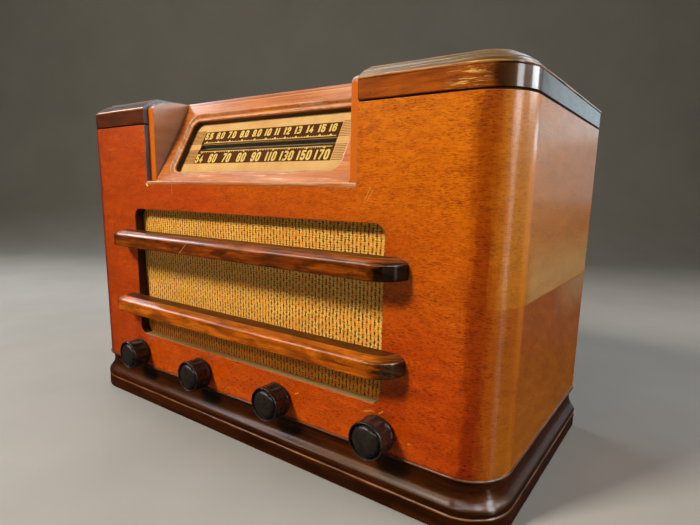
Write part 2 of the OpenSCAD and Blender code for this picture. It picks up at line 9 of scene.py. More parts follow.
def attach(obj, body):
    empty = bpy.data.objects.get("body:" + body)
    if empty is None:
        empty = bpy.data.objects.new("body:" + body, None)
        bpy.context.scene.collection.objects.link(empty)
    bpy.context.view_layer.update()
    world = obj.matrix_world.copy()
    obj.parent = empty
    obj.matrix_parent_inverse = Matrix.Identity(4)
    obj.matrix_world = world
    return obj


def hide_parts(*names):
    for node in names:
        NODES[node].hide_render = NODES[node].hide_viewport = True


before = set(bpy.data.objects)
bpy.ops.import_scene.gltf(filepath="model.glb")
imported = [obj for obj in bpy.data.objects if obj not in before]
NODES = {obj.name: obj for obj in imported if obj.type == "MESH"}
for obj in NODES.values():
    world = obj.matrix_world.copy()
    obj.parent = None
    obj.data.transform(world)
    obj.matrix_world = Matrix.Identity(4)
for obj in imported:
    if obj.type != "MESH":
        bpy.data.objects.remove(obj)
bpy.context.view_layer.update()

# Cabinet frame in millimetres: the front face lies on y = 0, z is the height.
FY = -96.5
HW, CX, CR, DEPTH = 230.0, 198.5, 31.5, 214.0
WALL, BASE_H, CAP_B, WALL_TOP, TOP = 9.0, 39.0, 278.2, 276.8, 301.5
NH, CI = 121.5, 113.0
NOTCH_Z = 222.0
TILT = math.radians(28.9)
ST, CT = math.sin(TILT), math.cos(TILT)
DIAL_Y = 1.74
KNOB_Z = 52.0
KNOBS = {"volume": -144.9, "tone": -48.3, "band": 48.3, "tuning": 144.9}


def to_row(p):
    p = np.asarray(p, float)
    return (p + np.array([0.0, FY, 0.0])) * 0.001


def slope(x, s, d):
    """A point x across, s up the sloping face and d behind it."""
    return (x, DIAL_Y + ST * s + CT * d, NOTCH_Z + CT * s - ST * d)


# ------------------------------------------------------------------ meshes


def make(name, verts, faces, mat, slot=None, body="cabinet", replaces=(), grain=None,
         wear=None, angle=35.0, smooth=True, mats=None, face_mats=None, weighted=True):
    me = bpy.data.meshes.new(name)
    me.from_pydata([tuple(v) for v in to_row(verts)], [], [tuple(f) for f in faces])
    me.validate(clean_customdata=False)
    n = len(me.vertices)
    if grain is not None and len(grain) == n:
        a = me.attributes.new("grain", "FLOAT_VECTOR", "POINT")
        a.data.foreach_set("vector", np.asarray(grain, np.float32).ravel())
    if wear is not None and len(wear) == n:
        a = me.attributes.new("wear", "FLOAT", "POINT")
        a.data.foreach_set("value", np.asarray(wear, np.float32).ravel())
    ob = bpy.data.objects.new(name, me)
    bpy.context.scene.collection.objects.link(ob)
    for m in (mats or [mat]):
        me.materials.append(m)
    if face_mats is not None and len(face_mats) == len(me.polygons):
        me.polygons.foreach_set("material_index", np.asarray(face_mats, np.int32))
    if smooth:
        me.polygons.foreach_set("use_smooth", np.ones(len(me.polygons), bool))
        me.set_sharp_from_angle(angle=math.radians(angle))
        if weighted:
            w = ob.modifiers.new("weighted", "WEIGHTED_NORMAL")
            w.mode = "FACE_AREA"
            w.weight = 80
            w.keep_sharp = True
    me.update()
    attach(ob, body)
    if replaces:
        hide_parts(*replaces)
    return ob


class Build:
    """Collects vertices, faces and grain coordinates of one piece."""

    def __init__(self):
        self.v, self.f, self.g, self.w, self.m = [], [], [], [], []

    def add(self, verts, faces, grain=None, wear=None, mat=0):
        n = len(self.v)
        self.v += [tuple(p) for p in verts]
        self.f += [tuple(n + i for i in f) for f in faces]
        self.g += [tuple(p) for p in (grain if grain is not None else verts)]
        self.w += list(wear) if wear is not None else [0.0] * len(verts)
        self.m += [mat] * len(faces)

    def make(self, name, mat, slot=None, **k):
        many = len(set(self.m)) > 1
        return make(name, self.v, self.f, mat, slot, grain=self.g, wear=self.w,
                    face_mats=self.m if many else None, **k)


def grid_faces(n, m, close_n=False, close_m=False):
    """Faces of a grid of n by m points."""
    out = []
    for i in range(n if close_n else n - 1):
        for j in range(m if close_m else m - 1):
            a, b = i * m + j, ((i + 1) % n) * m + j
            c, d = ((i + 1) % n) * m + (j + 1) % m, i * m + (j + 1) % m
            out.append((a, b, c, d))
    return out


def spline(pts, k=6):
    """Smooth curve through the points."""
    p = np.asarray(pts, float)
    if len(p) < 3:
        return [tuple(x) for x in p]
    q = np.vstack([2 * p[0] - p[1], p, 2 * p[-1] - p[-2]])
    out = []
    for i in range(1, len(q) - 2):
        for t in np.linspace(0, 1, k, endpoint=False):
            a, b, c, d = q[i - 1], q[i], q[i + 1], q[i + 2]
            out.append(0.5 * (2 * b + (c - a) * t + (2 * a - 5 * b + 4 * c - d) * t * t
                              + (3 * b - a - 3 * c + d) * t ** 3))
    out.append(p[-1])
    return [tuple(x) for x in out]


def arc(cx, cy, r, a0, a1, n):
    return [(cx + r * math.cos(math.radians(a)), cy + r * math.sin(math.radians(a)))
            for a in np.linspace(a0, a1, n)]


def rounded(x0, y0, x1, y1, r, n=10):
    """Outline of a rectangle with round corners, anticlockwise."""
    if r <= 0.01:
        return [(x0, y0), (x1, y0), (x1, y1), (x0, y1)]
    return (arc(x1 - r, y0 + r, r, -90, 0, n) + arc(x1 - r, y1 - r, r, 0, 90, n)
            + arc(x0 + r, y1 - r, r, 90, 180, n) + arc(x0 + r, y0 + r, r, 180, 270, n))


def area2(loop):
    p = np.asarray(loop)
    q = np.roll(p, -1, 0)
    return float((p[:, 0] * q[:, 1] - p[:, 1] * q[:, 0]).sum())


def offset(loop, d):
    """The loop moved to its left by d, with mitred corners."""
    p = np.asarray(loop, float)
    a, b = p - np.roll(p, 1, 0), np.roll(p, -1, 0) - p
    a /= np.maximum(np.linalg.norm(a, axis=1), 1e-9)[:, None]
    b /= np.maximum(np.linalg.norm(b, axis=1), 1e-9)[:, None]
    na, nb = np.c_[-a[:, 1], a[:, 0]], np.c_[-b[:, 1], b[:, 0]]
    m = na + nb
    k = np.maximum((m * na).sum(1), 0.35)
    return [tuple(x) for x in p + m * (d / k)[:, None]]


def inside(pt, loop):
    x, y = pt
    c = False
    n = len(loop)
    for i in range(n):
        x0, y0 = loop[i]
        x1, y1 = loop[(i + 1) % n]
        if (y0 > y) != (y1 > y) and x < (x1 - x0) * (y - y0) / (y1 - y0) + x0:
            c = not c
    return c


def fill(loops, outer, holes):
    """Triangles over a region: loops are lists of points, outer and holes say which ones bound it."""
    pts, edges = [], []
    for lp in loops:
        n = len(pts)
        pts += [Vector(p) for p in lp]
        edges += [(n + i, n + (i + 1) % len(lp)) for i in range(len(lp))]
    v, _, f, vo, _, _ = delaunay_2d_cdt(pts, edges, [], 0, 1e-6)
    back = {}
    for i, o in enumerate(vo):
        for j in o:
            back.setdefault(i, j)
    out = []
    for t in f:
        c = sum((Vector(v[i]) for i in t), Vector((0, 0))) / len(t)
        if inside(c, loops[outer]) and not any(inside(c, loops[h]) for h in holes):
            if all(i in back for i in t):
                q = [back[i] for i in t]
                if area2([pts[i] for i in q]) < 0:
                    q.reverse()
                out.append(tuple(q))
    return out


def plate(b, outer, holes, place, depth, lip=0.5, hole_lip=None, grain=None, wear_edge=0.0,
          steps=3, hole_steps=None, back=True, mat=0):
    """A board with round arrises. outer and holes are outlines in the board's own plane;
    place(a, b, c) gives the point at depth c behind its front face."""
    loops = [list(outer)] + [list(h) for h in holes]
    if area2(loops[0]) < 0:
        loops[0].reverse()
    for h in loops[1:]:
        if area2(h) > 0:
            h.reverse()
    grain = grain or (lambda a, c, d: (a, c, d))
    front_index, rings = [], []
    for k, lp in enumerate(loops):
        r = lip if k == 0 or hole_lip is None else hole_lip
        seq = []
        if k and hole_steps:
            seq = hole_steps
        else:
            seq.append((0.0, depth))
            for t in np.linspace(0, 90, steps + 1):
                seq.append((r * (1 - math.cos(math.radians(t))), r * (1 - math.sin(math.radians(t)))))
        idx = []
        for s, (ins, dep) in enumerate(seq):
            q = offset(lp, ins) if abs(ins) > 1e-6 else lp
            n = len(b.v)
            b.v += [tuple(place(x, y, dep)) for x, y in q]
            b.g += [tuple(grain(x, y, dep)) for x, y in q]
            b.w += [wear_edge if 0 < s < len(seq) - 1 else 0.0] * len(q)
            idx.append(list(range(n, n + len(q))))
        for s in range(len(idx) - 1):
            for i in range(len(lp)):
                j = (i + 1) % len(lp)
                b.f.append((idx[s][i], idx[s][j], idx[s + 1][j], idx[s + 1][i]))
                b.m.append(mat)
        front_index.append(idx[-1])
        rings.append((offset(lp, seq[-1][0]) if abs(seq[-1][0]) > 1e-6 else lp, idx[0], seq[0][0]))
    flat = [r[0] for r in rings]
    order = [i for idx in front_index for i in idx]
    for t in fill(flat, 0, range(1, len(flat))):
        b.f.append(tuple(order[i] for i in t))
        b.m.append(mat)
    if back:
        flat = [offset(lp, r[2]) if abs(r[2]) > 1e-6 else lp for lp, r in zip(loops, rings)]
        order = [i for r in rings for i in r[1]]
        for t in fill(flat, 0, range(1, len(flat))):
            b.f.append(tuple(order[i] for i in reversed(t)))
            b.m.append(mat)


def body_path(x_from=None, n=28, r0=CR):
    """Points of the cabinet's plan from the left's back edge round to the right's back edge:
    (x, y, normal x, normal y, length along). With x_from it starts on the front at that x."""
    pts = []
    half = []
    half.append((0.0, 0.0, 0.0, -1.0, 0.0))
    for a in np.linspace(0, 90, n):
        t = math.radians(a)
        half.append((CX + CR * math.sin(t), CR - CR * math.cos(t), math.sin(t), -math.cos(t), CX + CR * t))
    e = CX + CR * math.pi / 2
    for y in (60, 110, 160, DEPTH):
        half.append((HW, float(y), 1.0, 0.0, e + y - CR))
    if x_from is None:
        left = [(-x, y, -nx, ny, -u) for x, y, nx, ny, u in reversed(half)]
        return left[:-1] + half
    out = [(x_from, 0.0, 0.0, -1.0, x_from)]
    return out + [h for h in half if h[4] > x_from + 1]


def sweep(b, path, prof, wear=None, mat=0, swap=False):
    """Carries a section (outwards, height) along a path."""
    n = len(b.v)
    run = [0.0]
    for p, q in zip(prof, prof[1:]):
        run.append(run[-1] + math.hypot(q[0] - p[0], q[1] - p[1]))
    for x, y, nx, ny, u in path:
        for k, (o, z) in enumerate(prof):
            b.v.append((x + nx * o, y + ny * o, z))
            b.g.append((run[k], u, 7.0) if swap else (u, run[k], 7.0))
            b.w.append(wear(o, z) if wear else 0.0)
    m = len(prof)
    for f in grid_faces(len(path), m):
        b.f.append(tuple(n + i for i in f))
        b.m.append(mat)
    return n


def lathe(b, prof, place, n=64, grain=None, radial=None, mat=0, close=True):
    """Turns a section (radius, height) round an axis; radial(angle, r, h) may change the radius."""
    start = len(b.v)
    for i in range(n):
        a = 2 * math.pi * i / n
        for r, h in prof:
            rr = radial(a, r, h) if radial else r
            p = (rr * math.cos(a), rr * math.sin(a), h)
            b.v.append(tuple(place(*p)))
            b.g.append(p if grain is None else grain(*p))
            b.w.append(0.0)
    for f in grid_faces(n, len(prof), close_n=True):
        b.f.append(tuple(start + i for i in f))
        b.m.append(mat)


# --------------------------------------------------------------- materials


class Tree:
    def __init__(self, name):
        self.mat = bpy.data.materials.new(name)
        self.mat.use_nodes = True
        self.nt = self.mat.node_tree
        self.nt.nodes.clear()
        out = self.nt.nodes.new("ShaderNodeOutputMaterial")
        self.b = self.nt.nodes.new("ShaderNodeBsdfPrincipled")
        self.nt.links.new(self.b.outputs[0], out.inputs[0])

    def put(self, socket, value):
        if value is None:
            return
        if isinstance(value, bpy.types.NodeSocket):
            self.nt.links.new(value, socket)
        elif isinstance(value, (tuple, list)) and len(value) == 3 and socket.type == "RGBA":
            socket.default_value = (*value, 1.0)
        else:
            socket.default_value = value

    def set(self, **k):
        names = {"color": "Base Color", "rough": "Roughness", "metal": "Metallic", "normal": "Normal",
                 "coat": "Coat Weight", "coat_rough": "Coat Roughness", "ior": "IOR",
                 "spec": "Specular IOR Level", "tint": "Specular Tint", "alpha": "Alpha",
                 "trans": "Transmission Weight", "sheen": "Sheen Weight", "sheen_rough": "Sheen Roughness",
                 "sheen_tint": "Sheen Tint", "aniso": "Anisotropic", "coat_normal": "Coat Normal",
                 "coat_ior": "Coat IOR", "sss": "Subsurface Weight", "emit": "Emission Color",
                 "emit_s": "Emission Strength", "coat_tint": "Coat Tint"}
        for key, value in k.items():
            self.put(self.b.inputs[names[key]], value)
        return self

    def n(self, kind, props=None, **ins):
        node = self.nt.nodes.new("ShaderNode" + kind)
        for a, v in (props or {}).items():
            setattr(node, a, v)
        for key, v in ins.items():
            self.put(node.inputs[int(key[1:])] if key[0] == "i" and key[1:].isdigit() else node.inputs[key], v)
        return node

    def coords(self, grain=False, scale=1000.0, swizzle=None):
        if grain:
            return self.n("Attribute", {"attribute_name": "grain"}).outputs["Vector"]
        v = self.n("TexCoord").outputs["Object"]
        v = self.n("VectorMath", {"operation": "SCALE"}, i0=v, Scale=scale).outputs[0]
        if swizzle:
            s = self.n("SeparateXYZ", i0=v)
            v = self.n("CombineXYZ", i0=s.outputs[swizzle[0]], i1=s.outputs[swizzle[1]], i2=s.outputs[swizzle[2]]).outputs[0]
        return v

    def mul(self, v, k):
        return self.n("VectorMath", {"operation": "MULTIPLY"}, i0=v, i1=tuple(k)).outputs[0]

    def add(self, v, w):
        return self.n("VectorMath", {"operation": "ADD"}, i0=v, i1=w).outputs[0]

    def noise(self, v, k=(1, 1, 1), detail=2.0, rough=0.5, distort=0.0, color=False, scale=1.0):
        if k != (1, 1, 1):
            v = self.mul(v, k)
        x = self.n("TexNoise", {"noise_dimensions": "3D"}, Vector=v, Scale=scale, Detail=detail,
                   Roughness=rough, Distortion=distort)
        return x.outputs["Color" if color else "Fac"]

    def voronoi(self, v, k=(1, 1, 1), feature="F1", out="Distance", rnd=1.0):
        if k != (1, 1, 1):
            v = self.mul(v, k)
        x = self.n("TexVoronoi", {"feature": feature}, Vector=v, Scale=1.0, Randomness=rnd)
        return x.outputs[out]

    def math(self, op, a, b=None, c=None, clamp=False):
        x = self.nt.nodes.new("ShaderNodeMath")
        x.operation = op
        x.use_clamp = clamp
        for i, v in enumerate((a, b, c)):
            if v is not None:
                self.put(x.inputs[i], v)
        return x.outputs[0]

    def rng(self, v, a, b, c=0.0, d=1.0, kind="LINEAR"):
        x = self.nt.nodes.new("ShaderNodeMapRange")
        x.interpolation_type = kind
        for i, q in enumerate((v, a, b, c, d)):
            self.put(x.inputs[i], q)
        return x.outputs[0]

    def ramp(self, v, stops, mode="LINEAR"):
        x = self.nt.nodes.new("ShaderNodeValToRGB")
        x.color_ramp.interpolation = mode
        e = x.color_ramp.elements
        while len(e) < len(stops):
            e.new(0.5)
        for i, (p, c) in enumerate(stops):
            e[i].position = p
            e[i].color = (*c, 1.0)
        self.put(x.inputs[0], v)
        return x.outputs[0]

    def mix(self, f, a, b, blend="MIX"):
        x = self.nt.nodes.new("ShaderNodeMix")
        x.data_type = "RGBA"
        x.blend_type = blend
        x.clamp_factor = True
        self.put(x.inputs[0], f)
        for i, v in ((6, a), (7, b)):
            if isinstance(v, (tuple, list)):
                x.inputs[i].default_value = (*v[:3], 1.0)
            else:
                self.nt.links.new(v, x.inputs[i])
        return x.outputs[2]

    def sep(self, v):
        return self.n("SeparateXYZ", i0=v).outputs

    def xyz(self, a, b, c):
        return self.n("CombineXYZ", i0=a, i1=b, i2=c).outputs[0]

    def bump(self, h, dist, strength=1.0, normal=None):
        x = self.nt.nodes.new("ShaderNodeBump")
        x.inputs["Strength"].default_value = strength
        x.inputs["Distance"].default_value = dist
        self.put(x.inputs["Height"], h)
        if normal is not None:
            self.nt.links.new(normal, x.inputs["Normal"])
        return x.outputs[0]

    def attr(self, name):
        return self.n("Attribute", {"attribute_name": name}).outputs["Fac"]

    def streak(self, x, y, a, b, width):
        """1 on the line from a to b (mm), 0 beyond width from it."""
        dx, dy = b[0] - a[0], b[1] - a[1]
        ll = dx * dx + dy * dy
        px_, py_ = self.math("SUBTRACT", x, a[0]), self.math("SUBTRACT", y, a[1])
        k = self.math("ADD", self.math("MULTIPLY", px_, dx / ll), self.math("MULTIPLY", py_, dy / ll), clamp=True)
        ex = self.math("SUBTRACT", px_, self.math("MULTIPLY", k, dx))
        ey = self.math("SUBTRACT", py_, self.math("MULTIPLY", k, dy))
        d = self.math("SQRT", self.math("ADD", self.math("MULTIPLY", ex, ex), self.math("MULTIPLY", ey, ey)))
        return self.rng(d, width * 0.5, width, 1.0, 0.0)


def wood(name, light, mid, dark, pore, rough=0.45, coat=0.8, coat_rough=0.1, tint=(1.0, 0.5, 0.12), grain=True,
         swizzle=None, fleck=(4.6, 0.7), fleck_amount=0.6, ribbon=(110.0, 9.0), wear=None, wear_amount=0.0,
         cloud=(70.0, 45.0), patina=0.25, seed=0.0, wave=1.5, scratches=None, pore_cut=0.6, streak=0.25,
         bump=1.0, ripple=0.35, blotch=0.0, across=None, spec=0.5, wear_solid=False, shade=None,
         marks=(), mark_color=(0.8, 0.45, 0.15), scratch_z=None, seam=None, flame=None):
    """Varnished wood: broad colour, ribbons along the grain, fine lines, short dark pores."""
    t = Tree(name)
    g = t.coords(grain, swizzle=swizzle)
    g = t.add(g, (seed * 37.0, seed * 11.0, seed * 5.0))
    w = t.noise(g, (0.012, 0.03, 0.03), 2.0)
    w2 = t.noise(g, (0.06, 0.09, 0.09), 1.0)
    s = t.sep(g)
    v = t.math("ADD", s[1], t.math("MULTIPLY", t.math("SUBTRACT", w, 0.5), wave * 8))
    v = t.math("ADD", v, t.math("MULTIPLY", t.math("SUBTRACT", w2, 0.5), wave * 1.2))
    g2 = t.xyz(s[0], v, s[2])
    rib = t.noise(g2, (1 / ribbon[0], 1 / ribbon[1], 1 / ribbon[1]), 3.0, 0.55)
    col = t.ramp(rib, [(0.28, dark), (0.5, mid), (0.74, light)])
    fine = t.noise(g2, (1 / 26.0, 1 / 1.0, 1 / 1.0), 2.0, 0.6)
    col = t.mix(t.rng(fine, 0.45, 0.75, 0.0, streak), col, pore)
    cl = t.noise(g, (1 / cloud[0], 1 / cloud[1], 1 / cloud[1]), 3.0)
    col = t.mix(t.rng(cl, 0.42, 0.66, 0.0, patina), col, dark)
    if blotch:
        bl = t.noise(g, (1 / 22.0, 1 / 7.0, 1 / 7.0), 4.0, 0.6, 0.4)
        col = t.mix(t.rng(bl, 0.48, 0.62, 0.0, blotch), col, pore)
    dens = t.noise(g2, (1 / 42.0, 1 / 16.0, 1 / 16.0), 2.0)
    cut = t.rng(dens, 0.3, 0.7, pore_cut + 0.07, pore_cut - 0.05)
    p = t.noise(g2, (1 / fleck[0], 1 / fleck[1], 1 / fleck[1]), 1.0, 0.5, 0.15)
    fl = t.rng(t.math("SUBTRACT", p, cut), 0.0, 0.07)
    col = t.mix(t.math("MULTIPLY", fl, fleck_amount), col, pore)
    if across:
        # (x at full, x at none, colour): painted shade that darkens the colour towards one end, where the piece turns
        # away from the light
        ox = t.math("ADD", t.sep(t.coords(False))[0],
                    t.math("MULTIPLY", t.math("SUBTRACT", t.noise(g, (0.10, 0.35, 0.35), 3.0, 0.6), 0.5), 26.0))
        col = t.mix(t.rng(ox, across[0], across[1], 1.0, 0.0), col, across[2], "MULTIPLY")
    if flame:
        # pale brush of figure between two places along x
        ox = t.sep(t.coords(False))[0]
        k = t.math("MULTIPLY", t.rng(ox, flame[0], flame[1]), t.rng(ox, flame[2], flame[3], 1.0, 0.0))
        fb = t.noise(g, (1 / 11.0, 1 / 1.1, 1 / 1.1), 3.0, 0.65, 0.8)
        col = t.mix(t.math("MULTIPLY", k, t.rng(fb, 0.50, 0.62)), col, flame[4])
    if seam:
        # a thin dark joint at a height, with a bright arris under it
        oz = t.sep(t.coords(False))[2]
        k = t.math("MULTIPLY", t.rng(oz, seam - 1.3, seam - 0.7), t.rng(oz, seam - 0.6, seam - 0.2, 1.0, 0.0))
        col = t.mix(t.math("MULTIPLY", k, 0.5), col, (0.90, 0.42, 0.10))
        k = t.math("MULTIPLY", t.rng(oz, seam - 0.3, seam), t.rng(oz, seam + 0.6, seam + 0.9, 1.0, 0.0))
        col = t.mix(t.math("MULTIPLY", k, 0.8), col, (0.14, 0.030, 0.004))
    height = t.math("ADD", t.math("MULTIPLY", fl, -0.5), t.math("MULTIPLY", fine, 0.25))
    r = t.rng(t.noise(g, (0.05, 0.08, 0.08), 3.0), 0.3, 0.7, rough - 0.06, rough + 0.1)
    if wear is not None:
        # worn arrises: the finish is rubbed through along them
        a = t.attr("wear")
        nz = t.noise(g, (0.035, 0.5, 0.5), 4.0, 0.65)
        k = t.math("MULTIPLY", a, 1.0 if wear_solid else t.rng(nz, 0.40, 0.60), clamp=True)
        k = t.math("MULTIPLY", k, wear_amount)
        if shade:
            # negative values of the same attribute darken the colour: the caps' groove, the left cap's front and the
            # back edge of the bars' tops
            col = t.mix(t.math("MULTIPLY", a, -1.0, clamp=True), col, shade, "MULTIPLY")
        col = t.mix(k, col, wear)
        r = t.math("ADD", r, t.math("MULTIPLY", k, 0.2))
    peel = t.noise(g, (0.09, 0.12, 0.12), 2.0)
    if scratches:
        # fine scuffs along the piece, pale where the finish is broken
        sc = t.noise(g, (0.025, 1.1, 1.1), 4.0, 0.7, 0.8)
        where = t.rng(t.noise(g, (0.02, 0.06, 0.06), 2.0), 0.38, 0.52)
        if scratch_z:
            where = t.math("MULTIPLY", where, t.rng(t.sep(t.coords(False))[2], scratch_z[0], scratch_z[1], 1.0, 0.15))
        k = t.math("MULTIPLY", t.rng(sc, 0.56, 0.64), t.math("MULTIPLY", where, scratches[1]))
        col = t.mix(k, col, scratches[0])
        height = t.math("ADD", height, t.math("MULTIPLY", sc, 0.6))
        peel = t.math("ADD", peel, t.math("MULTIPLY", sc, 0.5))
    if marks:
        o = t.sep(t.coords(False))
        for a, b, wd in marks:
            col = t.mix(t.streak(o[0], o[2], a, b, wd), col, mark_color)
    col = t.mix(1.0, col, (0.83, 0.83, 0.83), "MULTIPLY")
    t.set(color=col, rough=r, coat=coat, coat_rough=coat_rough, spec=spec, tint=tint,
          normal=t.bump(height, 0.00012 * bump, 0.6), coat_normal=t.bump(peel, 0.00025, ripple))
    return t.mat


def veneer():
    """Thin sapele-like sheet wrapped round front and sides; half way up the sides a painted reflection haze ends at a
    thin dark line.
    """
    t = Tree("veneer")
    g = t.coords(True)
    s = t.sep(g)
    au = t.math("ABSOLUTE", s[0])
    # low on the sides the grain runs down towards the back
    slant = t.math("MULTIPLY", t.rng(au, 240.0, 440.0, 0.0, 60.0), t.math("LESS_THAN", s[1], 150.6))
    y = t.math("ADD", s[1], slant)
    w = t.noise(g, (0.018, 0.03, 0.03), 2.0)
    w2 = t.noise(g, (0.07, 0.11, 0.11), 2.0)
    v = t.math("ADD", y, t.math("MULTIPLY", t.math("SUBTRACT", w, 0.5), 10.0))
    v = t.math("ADD", v, t.math("MULTIPLY", t.math("SUBTRACT", w2, 0.5), 1.6))
    g2 = t.xyz(s[0], v, s[2])
    # broad figure
    fig = t.noise(g2, (1 / 30.0, 1 / 7.0, 0.1), 4.0, 0.6)
    col = t.ramp(fig, [(0.28, (0.55, 0.058, 0.0005)), (0.50, (0.67, 0.074, 0.0007)), (0.72, (0.80, 0.102, 0.0012))])
    # painted light: paler towards the upper right, where the key's sheen falls, with painted shade darker and redder
    # low down and on the left
    cl = t.noise(g, (1 / 60.0, 1 / 45.0, 0.1), 3.0)
    k = t.math("ADD", t.math("MULTIPLY", s[0], 0.5), s[1])
    k = t.math("ADD", k, t.math("MULTIPLY", t.math("SUBTRACT", cl, 0.5), 90.0))
    col = t.mix(t.rng(k, 190.0, 350.0, 0.0, 0.9), col, (0.90, 0.225, 0.004))
    col = t.mix(t.rng(s[1], 150.0, 60.0, 0.0, 1.0), col, (0.95, 0.86, 0.6), "MULTIPLY")
    col = t.mix(t.rng(s[0], -90.0, -190.0, 0.0, 1.0), col, (0.86, 0.86, 0.8), "MULTIPLY")
    # soft mottle of the curl
    curl = t.noise(g2, (1 / 9.0, 1 / 3.2, 0.2), 3.0, 0.65, 0.3)
    col = t.mix(t.rng(curl, 0.42, 0.68, 0.0, 0.44), col, (0.40, 0.040, 0.0006))
    # fine hair lines of the grain
    fine = t.noise(g2, (1 / 12.0, 1 / 0.55, 0.3), 2.0, 0.6)
    col = t.mix(t.rng(fine, 0.42, 0.70, 0.0, 0.30), col, (0.36, 0.034, 0.0006))
    # pores: short dark dashes, thicker in some places than others
    dens = t.noise(g2, (1 / 26.0, 1 / 11.0, 0.1), 3.0, 0.6)
    cut = t.rng(dens, 0.3, 0.7, 0.60, 0.50)
    p = t.noise(g2, (1 / 2.5, 1 / 0.52, 0.5), 1.0, 0.5, 0.1)
    fl = t.rng(t.math("SUBTRACT", p, cut), 0.0, 0.07)
    col = t.mix(t.math("MULTIPLY", fl, t.rng(s[1], 170.0, 120.0, 0.50, 0.68)), col, (0.24, 0.020, 0.0004))
    p2 = t.noise(t.add(g2, (91.0, 17.0, 3.0)), (1 / 4.2, 1 / 0.62, 0.5), 1.0, 0.5, 0.1)
    fl2 = t.rng(t.math("SUBTRACT", p2, t.math("ADD", cut, 0.085)), 0.0, 0.05)
    col = t.mix(t.math("MULTIPLY", fl2, t.rng(s[1], 170.0, 120.0, 0.60, 0.82)), col, (0.10, 0.008, 0.0003))
    # painted shade: darker on the bend, where the surface turns away from the key light; golden behind it
    soft = t.math("MULTIPLY", t.math("SUBTRACT", t.noise(g, (0.16, 0.03, 0.1), 3.0, 0.6), 0.5), 18.0)
    soft = t.math("ADD", soft, t.math("MULTIPLY", t.math("SUBTRACT", fine, 0.5), 7.0))
    aun = t.math("ADD", au, soft)
    band = t.math("MULTIPLY", t.rng(aun, 199.5, 209.5, 0.0, 1.0, "SMOOTHSTEP"), t.rng(aun, 215.0, 227.0, 1.0, 0.0, "SMOOTHSTEP"))
    col = t.mix(band, col, (0.56, 0.40, 0.4), "MULTIPLY")
    # the sides are coloured golden brown
    side = t.rng(aun, 215.0, 227.0, 0.0, 1.0)
    brown = t.mix(t.rng(fig, 0.3, 0.7), (0.54, 0.155, 0.008), (0.72, 0.22, 0.013))
    brown = t.mix(t.math("MULTIPLY", fl, 0.45), brown, (0.17, 0.036, 0.002))
    brown = t.mix(t.rng(fine, 0.42, 0.70, 0.0, 0.25), brown, (0.28, 0.065, 0.004))
    # painted reflection: below the line the sides are darker and redder, without the reflected haze
    lower = t.mix(t.rng(s[1], 130.0, 55.0), (0.76, 0.53, 0.2), (0.86, 0.74, 0.6))
    brown = t.mix(t.rng(s[1], 150.2, 151.0, 1.0, 0.0), brown, lower, "MULTIPLY")
    col = t.mix(side, col, brown)
    # painted light: a golden band of warm light along each side just behind the bend
    gold = t.math("MULTIPLY", t.rng(au, 238.0, 241.0), t.rng(au, 246.5, 250.0, 1.0, 0.0))
    gold = t.math("MULTIPLY", gold, t.rng(s[1], 105.0, 170.0, 0.25, 1.0))
    gold = t.math("MULTIPLY", gold, t.rng(s[1], 235.0, 252.0, 1.0, 0.15))
    gold = t.math("MULTIPLY", gold, t.rng(t.noise(g, (0.5, 0.03, 0.0), 2.0), 0.3, 0.65, 0.25, 0.75))
    col = t.mix(gold, col, (0.86, 0.25, 0.006))
    # painted reflection: a pale haze above the line, on the sides only
    painted_haze = t.math("MULTIPLY", t.rng(s[1], 150.6, 151.6), t.rng(s[1], 166.0, 192.0, 1.0, 0.0))
    painted_haze = t.math("MULTIPLY", painted_haze, t.rng(au, 246.0, 262.0, 0.0, 0.26))
    col = t.mix(painted_haze, col, (0.85, 0.66, 0.56))
    # painted reflection: a fainter haze below the line towards the back of the sides
    painted_haze = t.math("MULTIPLY", t.rng(s[1], 151.0, 150.2), t.rng(s[1], 116.0, 142.0))
    painted_haze = t.math("MULTIPLY", painted_haze, t.rng(au, 318.0, 392.0, 0.0, 0.26))
    col = t.mix(painted_haze, col, (0.72, 0.64, 0.60))
    # brighter and more orange just under the grille
    under = t.math("MULTIPLY", t.rng(s[1], 75.0, 66.0), t.rng(t.math("ABSOLUTE", s[0]), 155.0, 120.0))
    col = t.mix(under, col, (1.18, 1.42, 1.0), "MULTIPLY")
    # painted reflection: a thin dark line at the foot of the reflected haze, fainter on the front
    line = t.rng(t.math("ABSOLUTE", t.math("SUBTRACT", s[1], 150.6)), 0.12, 0.42, 0.35, 0.0)
    line = t.math("MULTIPLY", line, t.rng(au, 150.0, 240.0, 0.4, 1.0))
    col = t.mix(line, col, (0.16, 0.016, 0.0008))
    # painted reflection: darker just above the line on the right of the front and on the right side
    over = t.rng(t.math("SUBTRACT", s[1], 150.6), 0.0, 11.0, 0.30, 0.0)
    over = t.math("MULTIPLY", over, t.math("GREATER_THAN", s[1], 150.6))
    over = t.math("MULTIPLY", over, t.rng(s[0], 120.0, 190.0))
    col = t.mix(over, col, (0.80, 0.72, 0.60), "MULTIPLY")
